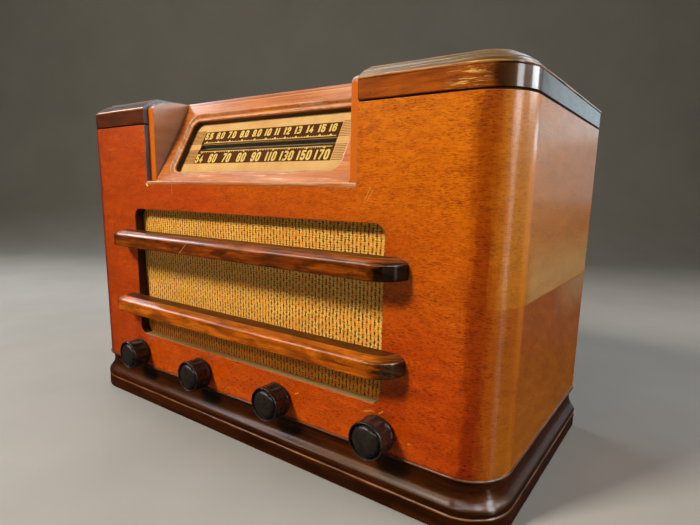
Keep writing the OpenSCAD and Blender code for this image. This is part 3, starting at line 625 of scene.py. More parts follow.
    # small knocks and scratches in the finish
    for a, b, wd, q in (((86.5, 78.0), (93.0, 80.2), 0.55, 0.75), ((93.0, 80.2), (98.5, 78.6), 0.5, 0.7),
                        ((66.5, 60.5), (69.5, 62.0), 0.6, 0.8), ((132.5, 64.6), (138.5, 66.8), 0.8, 0.5),
                        ((138.5, 66.8), (141.5, 66.4), 0.4, 0.5), ((145.2, 66.4), (148.2, 68.8), 0.7, 0.5),
                        ((168.8, 51.0), (170.4, 51.4), 0.6, 0.5), ((17.0, 79.5), (21.5, 81.5), 0.6, 0.7),
                        ((-83.5, 214.0), (-83.0, 221.5), 0.45, 0.55), ((129.0, 214.0), (133.5, 222.5), 0.4, 0.5),
                        ((131.0, 213.5), (135.0, 220.5), 0.3, 0.5)):
        col = t.mix(t.math("MULTIPLY", t.streak(s[0], s[1], a, b, wd), q), col, (0.85, 0.45, 0.10))
    col = t.mix(t.streak(s[0], s[1], (-123.0, 222.6), (-121.2, 221.2), 1.1), col, (0.92, 0.86, 0.78))
    sp = t.voronoi(g, (1 / 42.0, 1 / 42.0, 0.0))
    sp = t.rng(sp, 0.0, 0.014, 1.0, 0.0)
    col = t.mix(t.math("MULTIPLY", sp, 0.7), col, (0.85, 0.55, 0.25))
    height = t.math("ADD", t.math("MULTIPLY", fl, -0.5), t.math("MULTIPLY", fine, 0.3))
    r = t.rng(t.noise(g, (0.05, 0.08, 0.08), 3.0), 0.3, 0.7, 0.42, 0.54)
    # the varnish lies in faint upright ripples round the bends
    peel = t.noise(g, (0.05, 0.07, 0.07), 2.0)
    up = t.noise(g, (0.55, 0.02, 0.0), 3.0, 0.7)
    peel = t.math("ADD", peel, t.math("MULTIPLY", up, t.rng(au, 200.0, 212.0, 0.05, 0.9)))
    peel = t.math("ADD", peel, t.math("MULTIPLY", height, 0.2))
    col = t.mix(1.0, col, (0.84, 0.915, 0.5), "MULTIPLY")
    t.set(color=col, rough=r, coat=0.9, coat_rough=0.19, spec=0.35, tint=(1.0, 0.45, 0.06),
          normal=t.bump(height, 0.00010, 0.6), coat_normal=t.bump(peel, 0.00028, 0.35))
    return t.mat


M = {}
M["veneer"] = veneer()
CAPW = dict(light=(0.56, 0.118, 0.003), mid=(0.42, 0.080, 0.002), dark=(0.24, 0.040, 0.0012), pore=(0.06, 0.009, 0.0006))
# painted shade: through across, the right cap darkens round its corner from x 202 mm, where it turns away from the
# light
M["cap_wood"] = wood("cap_wood", rough=0.4, coat=1.0, coat_rough=0.13, wave=0.8, fleck=(3.0, 0.5), ribbon=(40.0, 4.0),
                     wear=(0.84, 0.40, 0.09), wear_amount=0.78, seed=5.0, fleck_amount=0.5, patina=0.5, blotch=0.3,
                     shade=(0.16, 0.14, 0.16), spec=0.35, cloud=(28.0, 14.0), across=(214.0, 202.0, (0.11, 0.09, 0.13)),
                     flame=(182.0, 194.0, 202.0, 212.0, (0.88, 0.50, 0.14)), **CAPW)
M["base_wood"] = wood("base_wood", light=(0.105, 0.019, 0.0016), mid=(0.052, 0.010, 0.0012), dark=(0.016, 0.004, 0.001),
                      pore=(0.006, 0.002, 0.0008), rough=0.40, coat=0.9, coat_rough=0.19, wave=1.4, ribbon=(120.0, 5.0),
                      wear=(0.42, 0.15, 0.040), wear_amount=0.8, seed=9.0, blotch=0.4, spec=0.35, ripple=0.03, bump=0.2)
BARW = dict(shade=(0.40, 0.34, 0.4), rough=0.36, coat=1.0, coat_rough=0.14, wave=1.0, patina=0.6, spec=0.3, streak=0.5, fleck=(3.2, 0.5), tint=(1.0, 0.45, 0.06),
            cloud=(24.0, 9.0))
# painted shade: through across, the bars darken towards their right ends, which face away from the light
M["upper_bar_wood"] = wood("upper_bar_wood", light=(0.64, 0.138, 0.002), mid=(0.30, 0.055, 0.0015), dark=(0.09, 0.017, 0.001),
                           pore=(0.045, 0.008, 0.0005), ribbon=(34.0, 2.6), seed=13.0, wear=(0.75, 0.24, 0.03), wear_amount=0.45,
                           blotch=0.75, across=(154.5, 147.0, (0.035, 0.06, 0.25)), marks=(((-47.0, 164.4), (-36.5, 173.6), 0.3),), mark_color=(0.66, 0.32, 0.09),
                           **BARW)
M["lower_bar_wood"] = wood("lower_bar_wood", light=(0.92, 0.235, 0.002), mid=(0.68, 0.145, 0.0015), dark=(0.30, 0.055, 0.001),
                           pore=(0.08, 0.014, 0.0005), ribbon=(34.0, 3.0), seed=14.0, wear=(0.80, 0.26, 0.03), wear_amount=0.45,
                           blotch=0.55, across=(155.0, 145.0, (0.13, 0.15, 0.40)), **BARW)
M["bar_top"] = wood("bar_top", light=(0.17, 0.040, 0.003), mid=(0.095, 0.020, 0.002), dark=(0.04, 0.008, 0.001),
                    pore=(0.02, 0.004, 0.0005), rough=0.55, coat=0.2, coat_rough=0.25, spec=0.15, seed=15.0, ribbon=(40.0, 3.0),
                    wave=0.8)
# painted shade: near-black copies of the bar wood for the right ends, which face away from the light
M["upper_bar_end"] = wood("upper_bar_end", light=(0.040, 0.022, 0.013), mid=(0.018, 0.009, 0.006), dark=(0.009, 0.006, 0.005),
                    pore=(0.008, 0.005, 0.004), rough=0.42, coat=0.26, coat_rough=0.18, spec=0.04, seed=16.0, ribbon=(12.0, 3.0),
                    wave=0.8, tint=(1.0, 0.55, 0.2), wear=(0.75, 0.45, 0.20), wear_amount=0.5)
M["lower_bar_end"] = wood("lower_bar_end", light=(0.21, 0.080, 0.020), mid=(0.085, 0.034, 0.012), dark=(0.026, 0.013, 0.008),
                          pore=(0.012, 0.007, 0.004), rough=0.42, coat=0.28, coat_rough=0.18, spec=0.05, seed=21.0,
                          ribbon=(12.0, 3.0), wave=0.8, tint=(1.0, 0.55, 0.2), wear=(0.75, 0.45, 0.20), wear_amount=0.5)
M["dial_wood"] = wood("dial_wood", light=(0.72, 0.215, 0.010), mid=(0.58, 0.150, 0.006), dark=(0.36, 0.074, 0.003),
                      pore=(0.16, 0.024, 0.001), rough=0.42, coat=0.7, coat_rough=0.2, wave=0.9, fleck=(3.4, 0.5),
                      wear=(0.80, 0.50, 0.26), wear_amount=0.8, seed=17.0, scratches=((0.96, 0.68, 0.46), 0.9), spec=0.35,
                      scratch_z=(236.0, 246.0), ribbon=(60.0, 3.6), seam=297.8)
# painted light: the cheeks' own brown is made greyish purple to stand in for the cool light from the right on their
# faces
M["cheek_wood"] = wood("cheek_wood", light=(0.47, 0.225, 0.135), mid=(0.40, 0.180, 0.100), dark=(0.32, 0.135, 0.072),
                       pore=(0.22, 0.085, 0.045), rough=0.40, coat=0.7, coat_rough=0.2, seed=19.0, streak=0.06, spec=0.3,
                       fleck_amount=0.12, wear=(0.74, 0.155, 0.003), wear_amount=1.0, ribbon=(50.0, 14.0), wear_solid=True,
                       patina=0.3)
M["top_wood"] = wood("top_wood", rough=0.42, coat=0.8, coat_rough=0.12, wave=2.0, seed=23.0, fleck_amount=0.5, **CAPW)
M["cap_slope"] = wood("cap_slope", light=(0.23, 0.150, 0.060), mid=(0.145, 0.088, 0.034), dark=(0.07, 0.036, 0.014),
                      pore=(0.035, 0.014, 0.006), rough=0.5, coat=0.3, coat_rough=0.2, wave=0.6, ribbon=(60.0, 3.0), seed=6.0,
                      wear=(0.78, 0.33, 0.07), wear_amount=0.85, spec=0.3, scratches=((0.80, 0.60, 0.30), 0.8),
                      tint=(1.0, 0.8, 0.6), fleck_amount=0.4, shade=(0.22, 0.18, 0.16))
M["left_slope"] = wood("left_slope", light=(0.085, 0.040, 0.016), mid=(0.050, 0.022, 0.009), dark=(0.026, 0.011, 0.005),
                       pore=(0.014, 0.006, 0.003), rough=0.6, coat=0.0, wave=0.6, ribbon=(60.0, 3.0), seed=7.0,
                       wear=(0.50, 0.20, 0.045), wear_amount=0.8, spec=0.08, tint=(1.0, 0.8, 0.6), shade=(0.3, 0.26, 0.22))
# dark lacquer on the cut edges at the notch, its bluish grey a painted reflection of the cool backdrop
M["notch_edge"] = wood("notch_edge", light=(0.13, 0.13, 0.16), mid=(0.075, 0.072, 0.088), dark=(0.035, 0.032, 0.040),
                       pore=(0.02, 0.014, 0.014), rough=0.5, coat=0.5, coat_rough=0.2, grain=False, swizzle=(2, 0, 1),
                       seed=37.0, tint=(1.0, 0.95, 0.9), ribbon=(30.0, 3.0))
M["raw_wood"] = wood("raw_wood", light=(0.62, 0.42, 0.22), mid=(0.50, 0.32, 0.15), dark=(0.38, 0.23, 0.10),
                     pore=(0.20, 0.11, 0.05), rough=0.7, coat=0.0, grain=False, swizzle=(0, 1, 2), seed=29.0,
                     fleck_amount=0.4, ribbon=(150.0, 6.0), tint=(1.0, 0.9, 0.8))
# painted shade: a near-black colour for edges and grooves that sit in shade
M["edge_shade"] = wood("edge_shade", light=(0.050, 0.024, 0.012), mid=(0.03, 0.014, 0.007), dark=(0.016, 0.008, 0.004),
                      pore=(0.006, 0.003, 0.002), rough=0.6, coat=0.0, grain=False, swizzle=(0, 2, 1), seed=31.0)
M["edge_pale"] = wood("edge_pale", light=(0.60, 0.46, 0.20), mid=(0.47, 0.34, 0.135), dark=(0.31, 0.21, 0.075),
                      pore=(0.14, 0.08, 0.03), rough=0.6, coat=0.2, grain=False, swizzle=(0, 2, 1), seed=33.0, tint=(1.0, 0.85, 0.6))


def plain(name, a, b, k=0.08, rough=(0.5, 0.7), metal=0.0, bump=0.00006, bk=1.2, detail=4.0, speck=None, **sets):
    """Two tones in cloudy patches, with a fine surface texture."""
    t = Tree(name)
    g = t.coords()
    c = t.noise(g, (k, k, k), detail, 0.6)
    col = t.ramp(c, [(0.3, a), (0.7, b)])
    f = t.noise(g, (bk, bk, bk), 3.0, 0.6)
    if speck:
        col = t.mix(t.rng(f, 0.6, 0.72, 0.0, 0.8), col, speck)
    r = t.rng(f, 0.3, 0.7, rough[0], rough[1])
    t.set(color=col, rough=r, metal=metal, normal=t.bump(f, bump, 0.6), **sets)
    return t.mat


def brushed(name, a, b, rough=(0.25, 0.4), k=(0.02, 2.5, 2.5), metal=1.0, spots=None, **sets):
    t = Tree(name)
    g = t.coords()
    f = t.noise(g, k, 3.0, 0.6)
    c = t.noise(g, (0.07, 0.07, 0.07), 4.0, 0.65)
    col = t.ramp(c, [(0.3, a), (0.7, b)])
    if spots:
        m = t.noise(g, (0.35, 0.35, 0.35), 4.0, 0.7)
        col = t.mix(t.rng(m, 0.58, 0.68, 0.0, 0.8), col, spots)
        metal_v = t.rng(m, 0.58, 0.68, metal, 0.3)
    else:
        metal_v = metal
    t.set(color=col, rough=t.rng(f, 0.3, 0.7, rough[0], rough[1]), metal=metal_v,
          normal=t.bump(f, 0.00004, 0.5), **sets)
    return t.mat


M["felt"] = plain("felt", (0.05, 0.03, 0.02), (0.10, 0.06, 0.045), rough=(0.85, 1.0), bump=0.0003, bk=2.5, sheen=0.4, sheen_rough=0.6)
M["rubber"] = plain("rubber", (0.015, 0.014, 0.013), (0.035, 0.033, 0.03), rough=(0.6, 0.85), bump=0.0001)
M["screw_metal"] = brushed("screw_metal", (0.55, 0.42, 0.20), (0.72, 0.58, 0.32), spots=(0.16, 0.08, 0.03))
M["frame_steel"] = brushed("frame_steel", (0.42, 0.42, 0.40), (0.60, 0.60, 0.58), rough=(0.3, 0.5), spots=(0.22, 0.12, 0.06))
M["magnet_steel"] = plain("magnet_steel", (0.10, 0.10, 0.105), (0.17, 0.17, 0.175), rough=(0.4, 0.6), metal=0.4)
M["core_steel"] = brushed("core_steel", (0.16, 0.15, 0.14), (0.28, 0.26, 0.24), rough=(0.4, 0.6), k=(2.5, 2.5, 0.05), spots=(0.20, 0.09, 0.04))
M["paper"] = plain("paper", (0.055, 0.048, 0.040), (0.10, 0.088, 0.070), k=0.3, rough=(0.85, 1.0), bump=0.0003, bk=1.6)
M["board"] = plain("board", (0.22, 0.135, 0.07), (0.32, 0.21, 0.12), k=0.12, rough=(0.8, 0.95), bump=0.0002, bk=1.5, speck=(0.12, 0.07, 0.035))
# painted light: the pan is near white so that it reads bright in its shaded recess behind the dial
M["pan_steel"] = plain("pan_steel", (0.76, 0.76, 0.58), (0.88, 0.88, 0.70), k=0.25, rough=(0.35, 0.55), bk=0.6)
M["window_card"] = plain("window_card", (0.28, 0.25, 0.16), (0.36, 0.32, 0.21), k=0.2, rough=(0.6, 0.8), bk=1.4, speck=(0.16, 0.15, 0.10))
M["plated"] = brushed("plated", (0.52, 0.50, 0.42), (0.70, 0.66, 0.54), rough=(0.28, 0.45), spots=(0.25, 0.15, 0.07))
M["shaft_steel"] = brushed("shaft_steel", (0.60, 0.60, 0.58), (0.74, 0.74, 0.72), rough=(0.18, 0.32), k=(2.5, 0.04, 2.5))
M["aluminium"] = brushed("aluminium", (0.66, 0.66, 0.65), (0.80, 0.80, 0.79), rough=(0.22, 0.38), k=(2.0, 0.05, 2.0))
M["wafer"] = plain("wafer", (0.30, 0.17, 0.06), (0.42, 0.26, 0.11), k=0.3, rough=(0.4, 0.6), bk=1.5)
M["valve_base"] = plain("valve_base", (0.016, 0.010, 0.008), (0.035, 0.020, 0.014), rough=(0.2, 0.35), bump=0.00003, coat=0.5, coat_rough=0.1)
M["pointer_red"] = plain("pointer_red", (0.48, 0.035, 0.015), (0.60, 0.06, 0.02), k=0.5, rough=(0.35, 0.5))


def fibre():
    t = Tree("fibreboard")
    g = t.coords()
    c = t.noise(g, (0.04, 0.04, 0.04), 4.0, 0.6)
    f = t.noise(g, (1.6, 1.6, 0.35), 3.0, 0.7)
    h = t.noise(g, (0.3, 2.2, 2.2), 2.0, 0.6)
    col = t.ramp(c, [(0.3, (0.105, 0.060, 0.030)), (0.7, (0.175, 0.105, 0.055))])
    col = t.mix(t.rng(f, 0.56, 0.72, 0.0, 0.55), col, (0.30, 0.20, 0.11))
    col = t.mix(t.rng(h, 0.60, 0.74, 0.0, 0.5), col, (0.05, 0.03, 0.015))
    t.set(color=col, rough=t.rng(f, 0.3, 0.7, 0.65, 0.85), normal=t.bump(t.math("ADD", f, h), 0.0002, 0.6))
    return t.mat


M["fibreboard"] = fibre()


def bakelite():
    t = Tree("bakelite")
    g = t.coords(True)
    c = t.noise(g, (0.12, 0.12, 0.2), 4.0, 0.6, 1.5)
    col = t.ramp(c, [(0.3, (0.013, 0.0095, 0.008)), (0.7, (0.030, 0.022, 0.017))])
    d = t.noise(g, (0.9, 0.9, 0.9), 4.0, 0.65)
    col = t.mix(t.rng(d, 0.58, 0.74, 0.0, 0.42), col, (0.10, 0.08, 0.07))
    r = t.rng(t.noise(g, (0.35, 0.35, 0.35), 4.0, 0.6), 0.3, 0.7, 0.13, 0.24)
    t.set(color=col, rough=r, spec=0.45, tint=(0.85, 0.90, 1.0), normal=t.bump(d, 0.00004, 0.6))
    return t.mat


M["bakelite"] = bakelite()


def cloth():
    """Gold threads over dark: upright floats, with broken dark gaps between them."""
    t = Tree("cloth")
    g = t.coords(True)
    s = t.sep(g)
    wob = t.noise(g, (0.03, 0.10, 0.0), 2.0)
    wob2 = t.noise(g, (0.10, 0.03, 0.0), 2.0)
    x = t.math("ADD", s[0], t.math("MULTIPLY", t.math("SUBTRACT", wob, 0.5), 2.2))
    y = t.math("ADD", s[1], t.math("MULTIPLY", t.math("SUBTRACT", wob2, 0.5), 4.0))
    cx = t.math("DIVIDE", x, 3.38)
    ix, fx = t.math("FLOOR", cx), t.math("FRACT", cx)
    shift = t.n("TexWhiteNoise", {"noise_dimensions": "1D"}, W=ix).outputs["Value"]
    cy = t.math("ADD", t.math("DIVIDE", y, 2.3), t.math("MULTIPLY", shift, 0.6))
    iy, fy = t.math("FLOOR", cy), t.math("FRACT", cy)
    cell = t.n("TexWhiteNoise", {"noise_dimensions": "2D"}, Vector=t.xyz(ix, iy, 0.0)).outputs["Value"]
    cell2 = t.n("TexWhiteNoise", {"noise_dimensions": "2D"}, Vector=t.xyz(ix, t.math("ADD", iy, 40.0), 0.0)).outputs["Value"]
    # the pattern comes round every second thread and every 6.9 mm
    alt = t.math("SUBTRACT", 1.0, t.math("MULTIPLY", t.math("PINGPONG", ix, 1.0), 2.0))
    rep = t.math("MULTIPLY", t.math("COSINE", t.math("MULTIPLY", y, 2 * math.pi / 6.9)), alt)
    op = t.math("ADD", t.math("MULTIPLY", rep, 0.55), t.math("SUBTRACT", cell, 0.50))
    op = t.rng(op, -0.05, 0.05)
    ax = t.math("ABSOLUTE", t.math("SUBTRACT", fx, 0.5))
    gap = t.rng(ax, 0.13, 0.19, 1.0, 0.0)
    pick = t.math("ABSOLUTE", t.math("SUBTRACT", t.math("FRACT", t.math("DIVIDE", y, 1.75)), 0.5))
    gap = t.math("MULTIPLY", gap, t.rng(pick, 0.24, 0.46, 1.0, 0.36))
    gap = t.math("MULTIPLY", gap, op)
    # ends of the floats: dark nicks across every other thread
    yy = t.math("ADD", t.math("DIVIDE", y, 3.45), t.math("MULTIPLY", t.math("PINGPONG", ix, 1.0), 0.5))
    nick = t.math("ABSOLUTE", t.math("SUBTRACT", t.math("FRACT", yy), 0.5))
    nick = t.math("MULTIPLY", t.rng(nick, 0.11, 0.05), t.rng(cell2, 0.35, 0.5))
    small = t.math("MULTIPLY", t.rng(pick, 0.12, 0.04), 0.34)
    nick = t.math("MAXIMUM", t.math("MULTIPLY", nick, 0.85), small)
    nick = t.math("MULTIPLY", nick, t.rng(ax, 0.47, 0.36, 0.55, 1.0))
    dark = t.math("MAXIMUM", gap, nick)
    fl = t.math("MULTIPLY", t.rng(ax, 0.17, 0.30), t.rng(cell2, 0.1, 0.8, 0.35, 1.0))
    fib = t.noise(g, (3.4, 0.9, 0.0), 2.0, 0.6)
    fl = t.math("MULTIPLY", fl, t.rng(fib, 0.3, 0.7, 0.75, 1.1), clamp=True)
    base = t.ramp(t.noise(g, (0.25, 0.4, 0.0), 3.0), [(0.3, (0.82, 0.235, 0.007)), (0.7, (0.94, 0.325, 0.012))])
    col = t.mix(fl, base, (1.0, 0.77, 0.20))
    # painted shadow: darker below z 104, under the lower bar; painted highlight: a bright gold gleam along the bottom
    # rows
    low = t.math("MULTIPLY", t.rng(s[1], 82.0, 76.0, 0.0, 1.0, "SMOOTHSTEP"), t.rng(fib, 0.35, 0.6, 0.5, 1.0))
    col = t.mix(t.rng(s[1], 104.0, 96.0, 0.0, 1.0, "SMOOTHSTEP"), col, (0.80, 0.56, 0.3), "MULTIPLY")
    col = t.mix(low, col, (2.3, 2.4, 2.0), "MULTIPLY")
    col = t.mix(dark, col, (0.062, 0.013, 0.001))
    soil = t.noise(g, (0.02, 0.03, 0.0), 3.0)
    col = t.mix(t.rng(soil, 0.45, 0.7, 0.0, 0.15), col, (0.40, 0.13, 0.01))
    h = t.math("SUBTRACT", t.math("MULTIPLY", fl, 0.5), dark)
    t.set(color=col, rough=t.rng(dark, 0.0, 1.0, 0.40, 0.8), spec=0.6, tint=(1.0, 0.72, 0.3), sheen=0.1,
          sheen_rough=0.4, sheen_tint=(1.0, 0.7, 0.3), normal=t.bump(h, 0.0004, 0.8))
    return t.mat


M["cloth"] = cloth()


def glassy(name, color, alpha, rough=0.04, spec=0.9):
    t = Tree(name)
    g = t.coords()
    d = t.noise(g, (0.05, 0.05, 0.05), 4.0, 0.6)
    t.set(color=t.mix(t.rng(d, 0.4, 0.7), color, tuple(0.8 * c for c in color)), alpha=alpha,
          rough=t.rng(d, 0.3, 0.7, rough, rough + 0.05), spec=spec)
    return t.mat


M["dial_glass"] = glassy("dial_glass", (0.14, 0.13, 0.10), 0.012, rough=0.14, spec=0.3)
M["lamp_glass"] = glassy("lamp_glass", (0.85, 0.84, 0.70), 0.92, rough=0.3, spec=0.4)
M["valve_glass"] = glassy("valve_glass", (0.20, 0.21, 0.22), 0.45)


def printed(name, a, b, rough=0.45, dirt=0.2):
    t = Tree(name)
    g = t.coords()
    c = t.noise(g, (0.045, 0.03, 0.03), 3.0, 0.6)
    col = t.ramp(c, [(0.3, a), (0.7, b)])
    d = t.noise(g, (1.1, 1.1, 1.1), 3.0, 0.7)
    col = t.mix(t.rng(d, 0.58, 0.75, 0.0, dirt), col, tuple(0.45 * x for x in a))
    col = t.mix(1.0, col, (0.83, 0.83, 0.83), "MULTIPLY")
    t.set(color=col, rough=t.rng(d, 0.3, 0.7, rough + 0.1, rough + 0.25), spec=0.03, normal=t.bump(d, 0.00003, 0.4))
    return t.mat


M["dial_cream"] = printed("dial_cream", (0.74, 0.40, 0.13), (0.86, 0.55, 0.22))
M["dial_brown"] = printed("dial_brown", (0.070, 0.018, 0.003), (0.105, 0.030, 0.005))
M["dial_yellow"] = printed("dial_yellow", (0.80, 0.56, 0.13), (0.88, 0.66, 0.20), dirt=0.3)
M["dial_line"] = printed("dial_line", (0.26, 0.095, 0.02), (0.33, 0.13, 0.03))

# ------------------------------------------------------------------- scene

cam_data = bpy.data.cameras.new("camera")
cam = bpy.data.objects.new("camera", cam_data)
bpy.context.scene.collection.objects.link(cam)
bpy.context.scene.camera = cam
yaw, pitch, roll = (math.radians(a) for a in (35.13, 10.24, 1.16))
right = Vector((math.cos(yaw), math.sin(yaw), 0))
fwd = Vector((-math.sin(yaw) * math.cos(pitch), math.cos(yaw) * math.cos(pitch), -math.sin(pitch)))
up = right.cross(fwd)
r2 = right * math.cos(roll) + up * math.sin(roll)
u2 = -right * math.sin(roll) + up * math.cos(roll)
cam.matrix_world = Matrix((
    (r2.x, u2.x, -fwd.x, 0.31649), (r2.y, u2.y, -fwd.y, -0.37219), (r2.z, u2.z, -fwd.z, 0.21905), (0, 0, 0, 1)))
cam_data.sensor_width = 36.0
cam_data.lens = 493.44 * 36.0 / 700.0
cam_data.shift_x = -5.2 / 700.0
cam_data.shift_y = 18.57 / 700.0
cam_data.clip_start = 0.01
cam_data.clip_end = 50.0


def floor_material():
    t = Tree("floor")
    g = t.coords()
    c = t.noise(g, (0.006, 0.006, 0.006), 4.0, 0.55)
    f = t.noise(g, (0.6, 0.6, 0.6), 3.0, 0.6)
    col = t.ramp(c, [(0.3, (0.33, 0.326, 0.315)), (0.7, (0.37, 0.366, 0.355))])
    col = t.mix(t.rng(f, 0.5, 0.8, 0.0, 0.12), col, (0.30, 0.296, 0.28))
    # painted shade: the floor darkens further back along the camera's view, standing in for the fall-off of the light
    s = t.sep(g)
    back = t.math("ADD", t.math("MULTIPLY", s[0], -math.sin(yaw)), t.math("MULTIPLY", s[1], math.cos(yaw)))
    col = t.mix(t.rng(back, 350.0, 1500.0, 0.0, 1.0, "SMOOTHSTEP"), col, (0.40, 0.385, 0.35), "MULTIPLY")
    t.set(color=col, rough=0.85, spec=0.1, normal=t.bump(f, 0.0002, 0.3))
    return t.mat


def floor():
    """A pale floor that curves up into a backdrop across the camera's view."""
    ax, ay = Vector((math.cos(yaw), math.sin(yaw))), Vector((-math.sin(yaw), math.cos(yaw)))
    # inset from the wall, height; swept round a rounded oblong that is closed on all sides
    prof = ([(2.4, 0.0), (1.4, 0.0)] + [(0.6 - 0.6 * math.sin(a), 0.6 - 0.6 * math.cos(a))
                                        for a in np.linspace(0.0, math.pi / 2, 16)] + [(0.0, 0.6 + 0.3 * k) for k in range(1, 11)])
    loop = []
    for cx_, cy_, a0 in ((3.0, -3.0, -90), (3.0, -0.8, 0), (-3.0, -0.8, 90), (-3.0, -3.0, 180)):
        loop += [(cx_, cy_, math.radians(a)) for a in np.linspace(a0, a0 + 90, 17)]
    verts = []
    for cx_, cy_, a in loop:
        for d, z in prof:
            x, y = cx_ + (2.5 - d) * math.cos(a), cy_ + (2.5 - d) * math.sin(a)
            verts.append((ax.x * x + ay.x * y, ax.y * x + ay.y * y, z))
    m = len(prof)
    faces = [tuple(reversed(f)) for f in grid_faces(len(loop), m, close_n=True)]
    faces.append(tuple(i * m for i in range(len(loop))))
    me = bpy.data.meshes.new("floor")
    me.from_pydata(verts, [], faces)
    me.polygons.foreach_set("use_smooth", np.ones(len(faces), bool))
    me.materials.append(floor_material())
    ob = bpy.data.objects.new("floor", me)
    bpy.context.scene.collection.objects.link(ob)
    ob.visible_glossy = False


floor()


def panel(name, az, el, dist, width, height, radiance, color=(1, 1, 1), about=(0.0, 0.0, 0.15), glossy=True, z=None,
          diffuse=True, aim=None):
    """A soft panel seen from a point in the direction az (0 = front, 90 = right), el degrees up."""
    a, e = math.radians(az), math.radians(el)
    at = Vector(about) + dist * Vector((math.sin(a) * math.cos(e), -math.cos(a) * math.cos(e), math.sin(e)))
    to = Vector(about)
    if z is not None:
        at.z = to.z = z
    if aim:
        to = Vector(aim)
    d = bpy.data.lights.new(name, "AREA")
    d.shape = "RECTANGLE"
    d.size, d.size_y = width, height
    d.energy = radiance * math.pi * width * height
    d.color = color
    o = bpy.data.objects.new(name, d)
    bpy.context.scene.collection.objects.link(o)
    o.location = at
    o.rotation_mode = "QUATERNION"
    o.rotation_quaternion = (to - at).to_track_quat("-Z", "Y")
    o.visible_camera = False
    o.visible_glossy = glossy
    o.visible_diffuse = diffuse
    return o


CORNER = (0.222, -0.085, 0.20)
# the hard part of the key makes the shadows, the soft part the highlights
panel("key_hard", -24.3, 39.4, 2.0, 0.38, 0.38, 103.0, (1.0, 0.91, 0.78), glossy=False)
panel("key_spark", -24.3, 39.4, 2.0, 0.20, 0.20, 36.0, (1.0, 0.92, 0.80), diffuse=False)
panel("key_soft", -33.0, 39.4, 2.0, 1.50, 0.32, 9.0, (1.0, 0.93, 0.84), diffuse=False)
panel("window_left", -98.0, 33.0, 1.6, 1.3, 0.8, 3.6, (0.90, 0.94, 1.0), glossy=False, aim=(-0.33, -0.57, 0.20))
panel("left_strip", -84.0, 31.0, 1.6, 0.75, 0.30, 1.5, (1.0, 0.95, 0.93), diffuse=False)
# high on the left: the pale gleam on the upper right of the dial frame
panel("nose", -65.0, 52.0, 1.5, 0.20, 0.20, 7.0, (1.0, 0.93, 0.85), about=(0.07, -0.06, 0.29), diffuse=False)
panel("fill_right", 98.0, 24.0, 2.0, 1.0, 1.0, 9.0, (1.0, 0.95, 0.88), glossy=False)
panel("right", 84.5, 0.0, 1.2, 0.15, 0.50, 5.0, (1.0, 0.93, 0.85), about=CORNER, z=0.16, diffuse=False)
panel("right_top", 86.0, 0.0, 1.2, 0.30, 0.55, 11.0, (0.84, 0.92, 1.0), about=CORNER, z=0.67, diffuse=False)
panel("rear_right", 129.0, 10.0, 1.2, 0.46, 0.34, 12.0, (0.80, 0.92, 1.0), about=CORNER, z=0.66, diffuse=False)
panel("side_glow", 176.0, 10.0, 1.1, 0.50, 0.30, 0.92, (0.68, 0.90, 1.0), about=(0.23, 0.03, 0.2), z=0.52, diffuse=False)
panel("side_glow_mid", 170.5, 10.0, 1.1, 0.50, 0.17, 0.27, (0.62, 0.86, 1.0), about=(0.23, 0.03, 0.2), z=0.285, diffuse=False)
panel("side_glow_low", 168.5, 10.0, 1.1, 0.50, 0.40, 0.02, (0.62, 0.86, 1.0), about=(0.23, 0.03, 0.2), z=0.0, diffuse=False)
# low strips that draw the long highlights along the base
panel("lip_left", -58.0, 27.0, 1.8, 1.0, 0.10, 7.0, (0.98, 0.92, 1.0), about=(0.1, -0.1, 0.02), diffuse=False)
panel("lip_front", -8.0, 31.0, 2.0, 2.4, 0.08, 5.0, (1.0, 0.84, 0.68), about=(0.1, -0.1, 0.02), diffuse=False)
panel("lip_corner", 36.0, 42.0, 1.5, 1.6, 0.13, 6.0, (0.94, 0.95, 1.0), about=(0.2, -0.09, 0.02), diffuse=False)
panel("lip_side", 82.0, 42.0, 1.5, 1.3, 0.20, 6.0, (0.84, 0.93, 1.0), about=(0.2, -0.09, 0.02), diffuse=False)
panel("lip_rear", 124.0, 29.0, 1.5, 1.2, 0.20, 6.0, (0.80, 0.92, 1.0), about=(0.2, -0.09, 0.02), diffuse=False)
panel("base_sky", -30.0, 68.0, 1.8, 1.2, 0.8, 0.18, (0.95, 0.97, 1.0), about=(0.0, -0.1, 0.05), diffuse=False)
panel("base_glow", 149.0, 17.0, 1.2, 0.28, 0.08, 7.0, (0.62, 0.86, 1.0), about=(0.23, 0.0, 0.03), diffuse=False)
panel("base_haze", 150.0, 6.0, 1.1, 0.40, 0.26, 0.20, (0.36, 0.72, 1.0), about=(0.23, 0.0, 0.03), diffuse=False)
panel("cap_corner", 190.0, 30.0, 1.2, 0.16, 0.40, 2.8, (0.78, 0.90, 1.0), about=(0.222, -0.09, 0.297), diffuse=False)
panel("right_low", 85.0, 0.0, 1.2, 0.13, 0.55, 1.6, (1.0, 0.90, 0.76), about=CORNER, z=-0.36, diffuse=False)
panel("cap_back", 174.0, 41.0, 1.2, 0.30, 0.20, 8.0, (0.82, 0.92, 1.0), about=(0.22, -0.08, 0.29), diffuse=False)
# behind on the left: the sheen on the bevels of the bars and on the caps' slopes
panel("bevels", -104.0, 35.0, 1.5, 1.3, 0.34, 6.5, (0.80, 0.90, 1.0), about=(0.0, -0.1, 0.15), diffuse=False)
panel("bevels_end", -127.0, 50.0, 1.4, 0.60, 0.36, 3.6, (1.0, 0.93, 0.84), about=(0.15, -0.1, 0.15), diffuse=False)

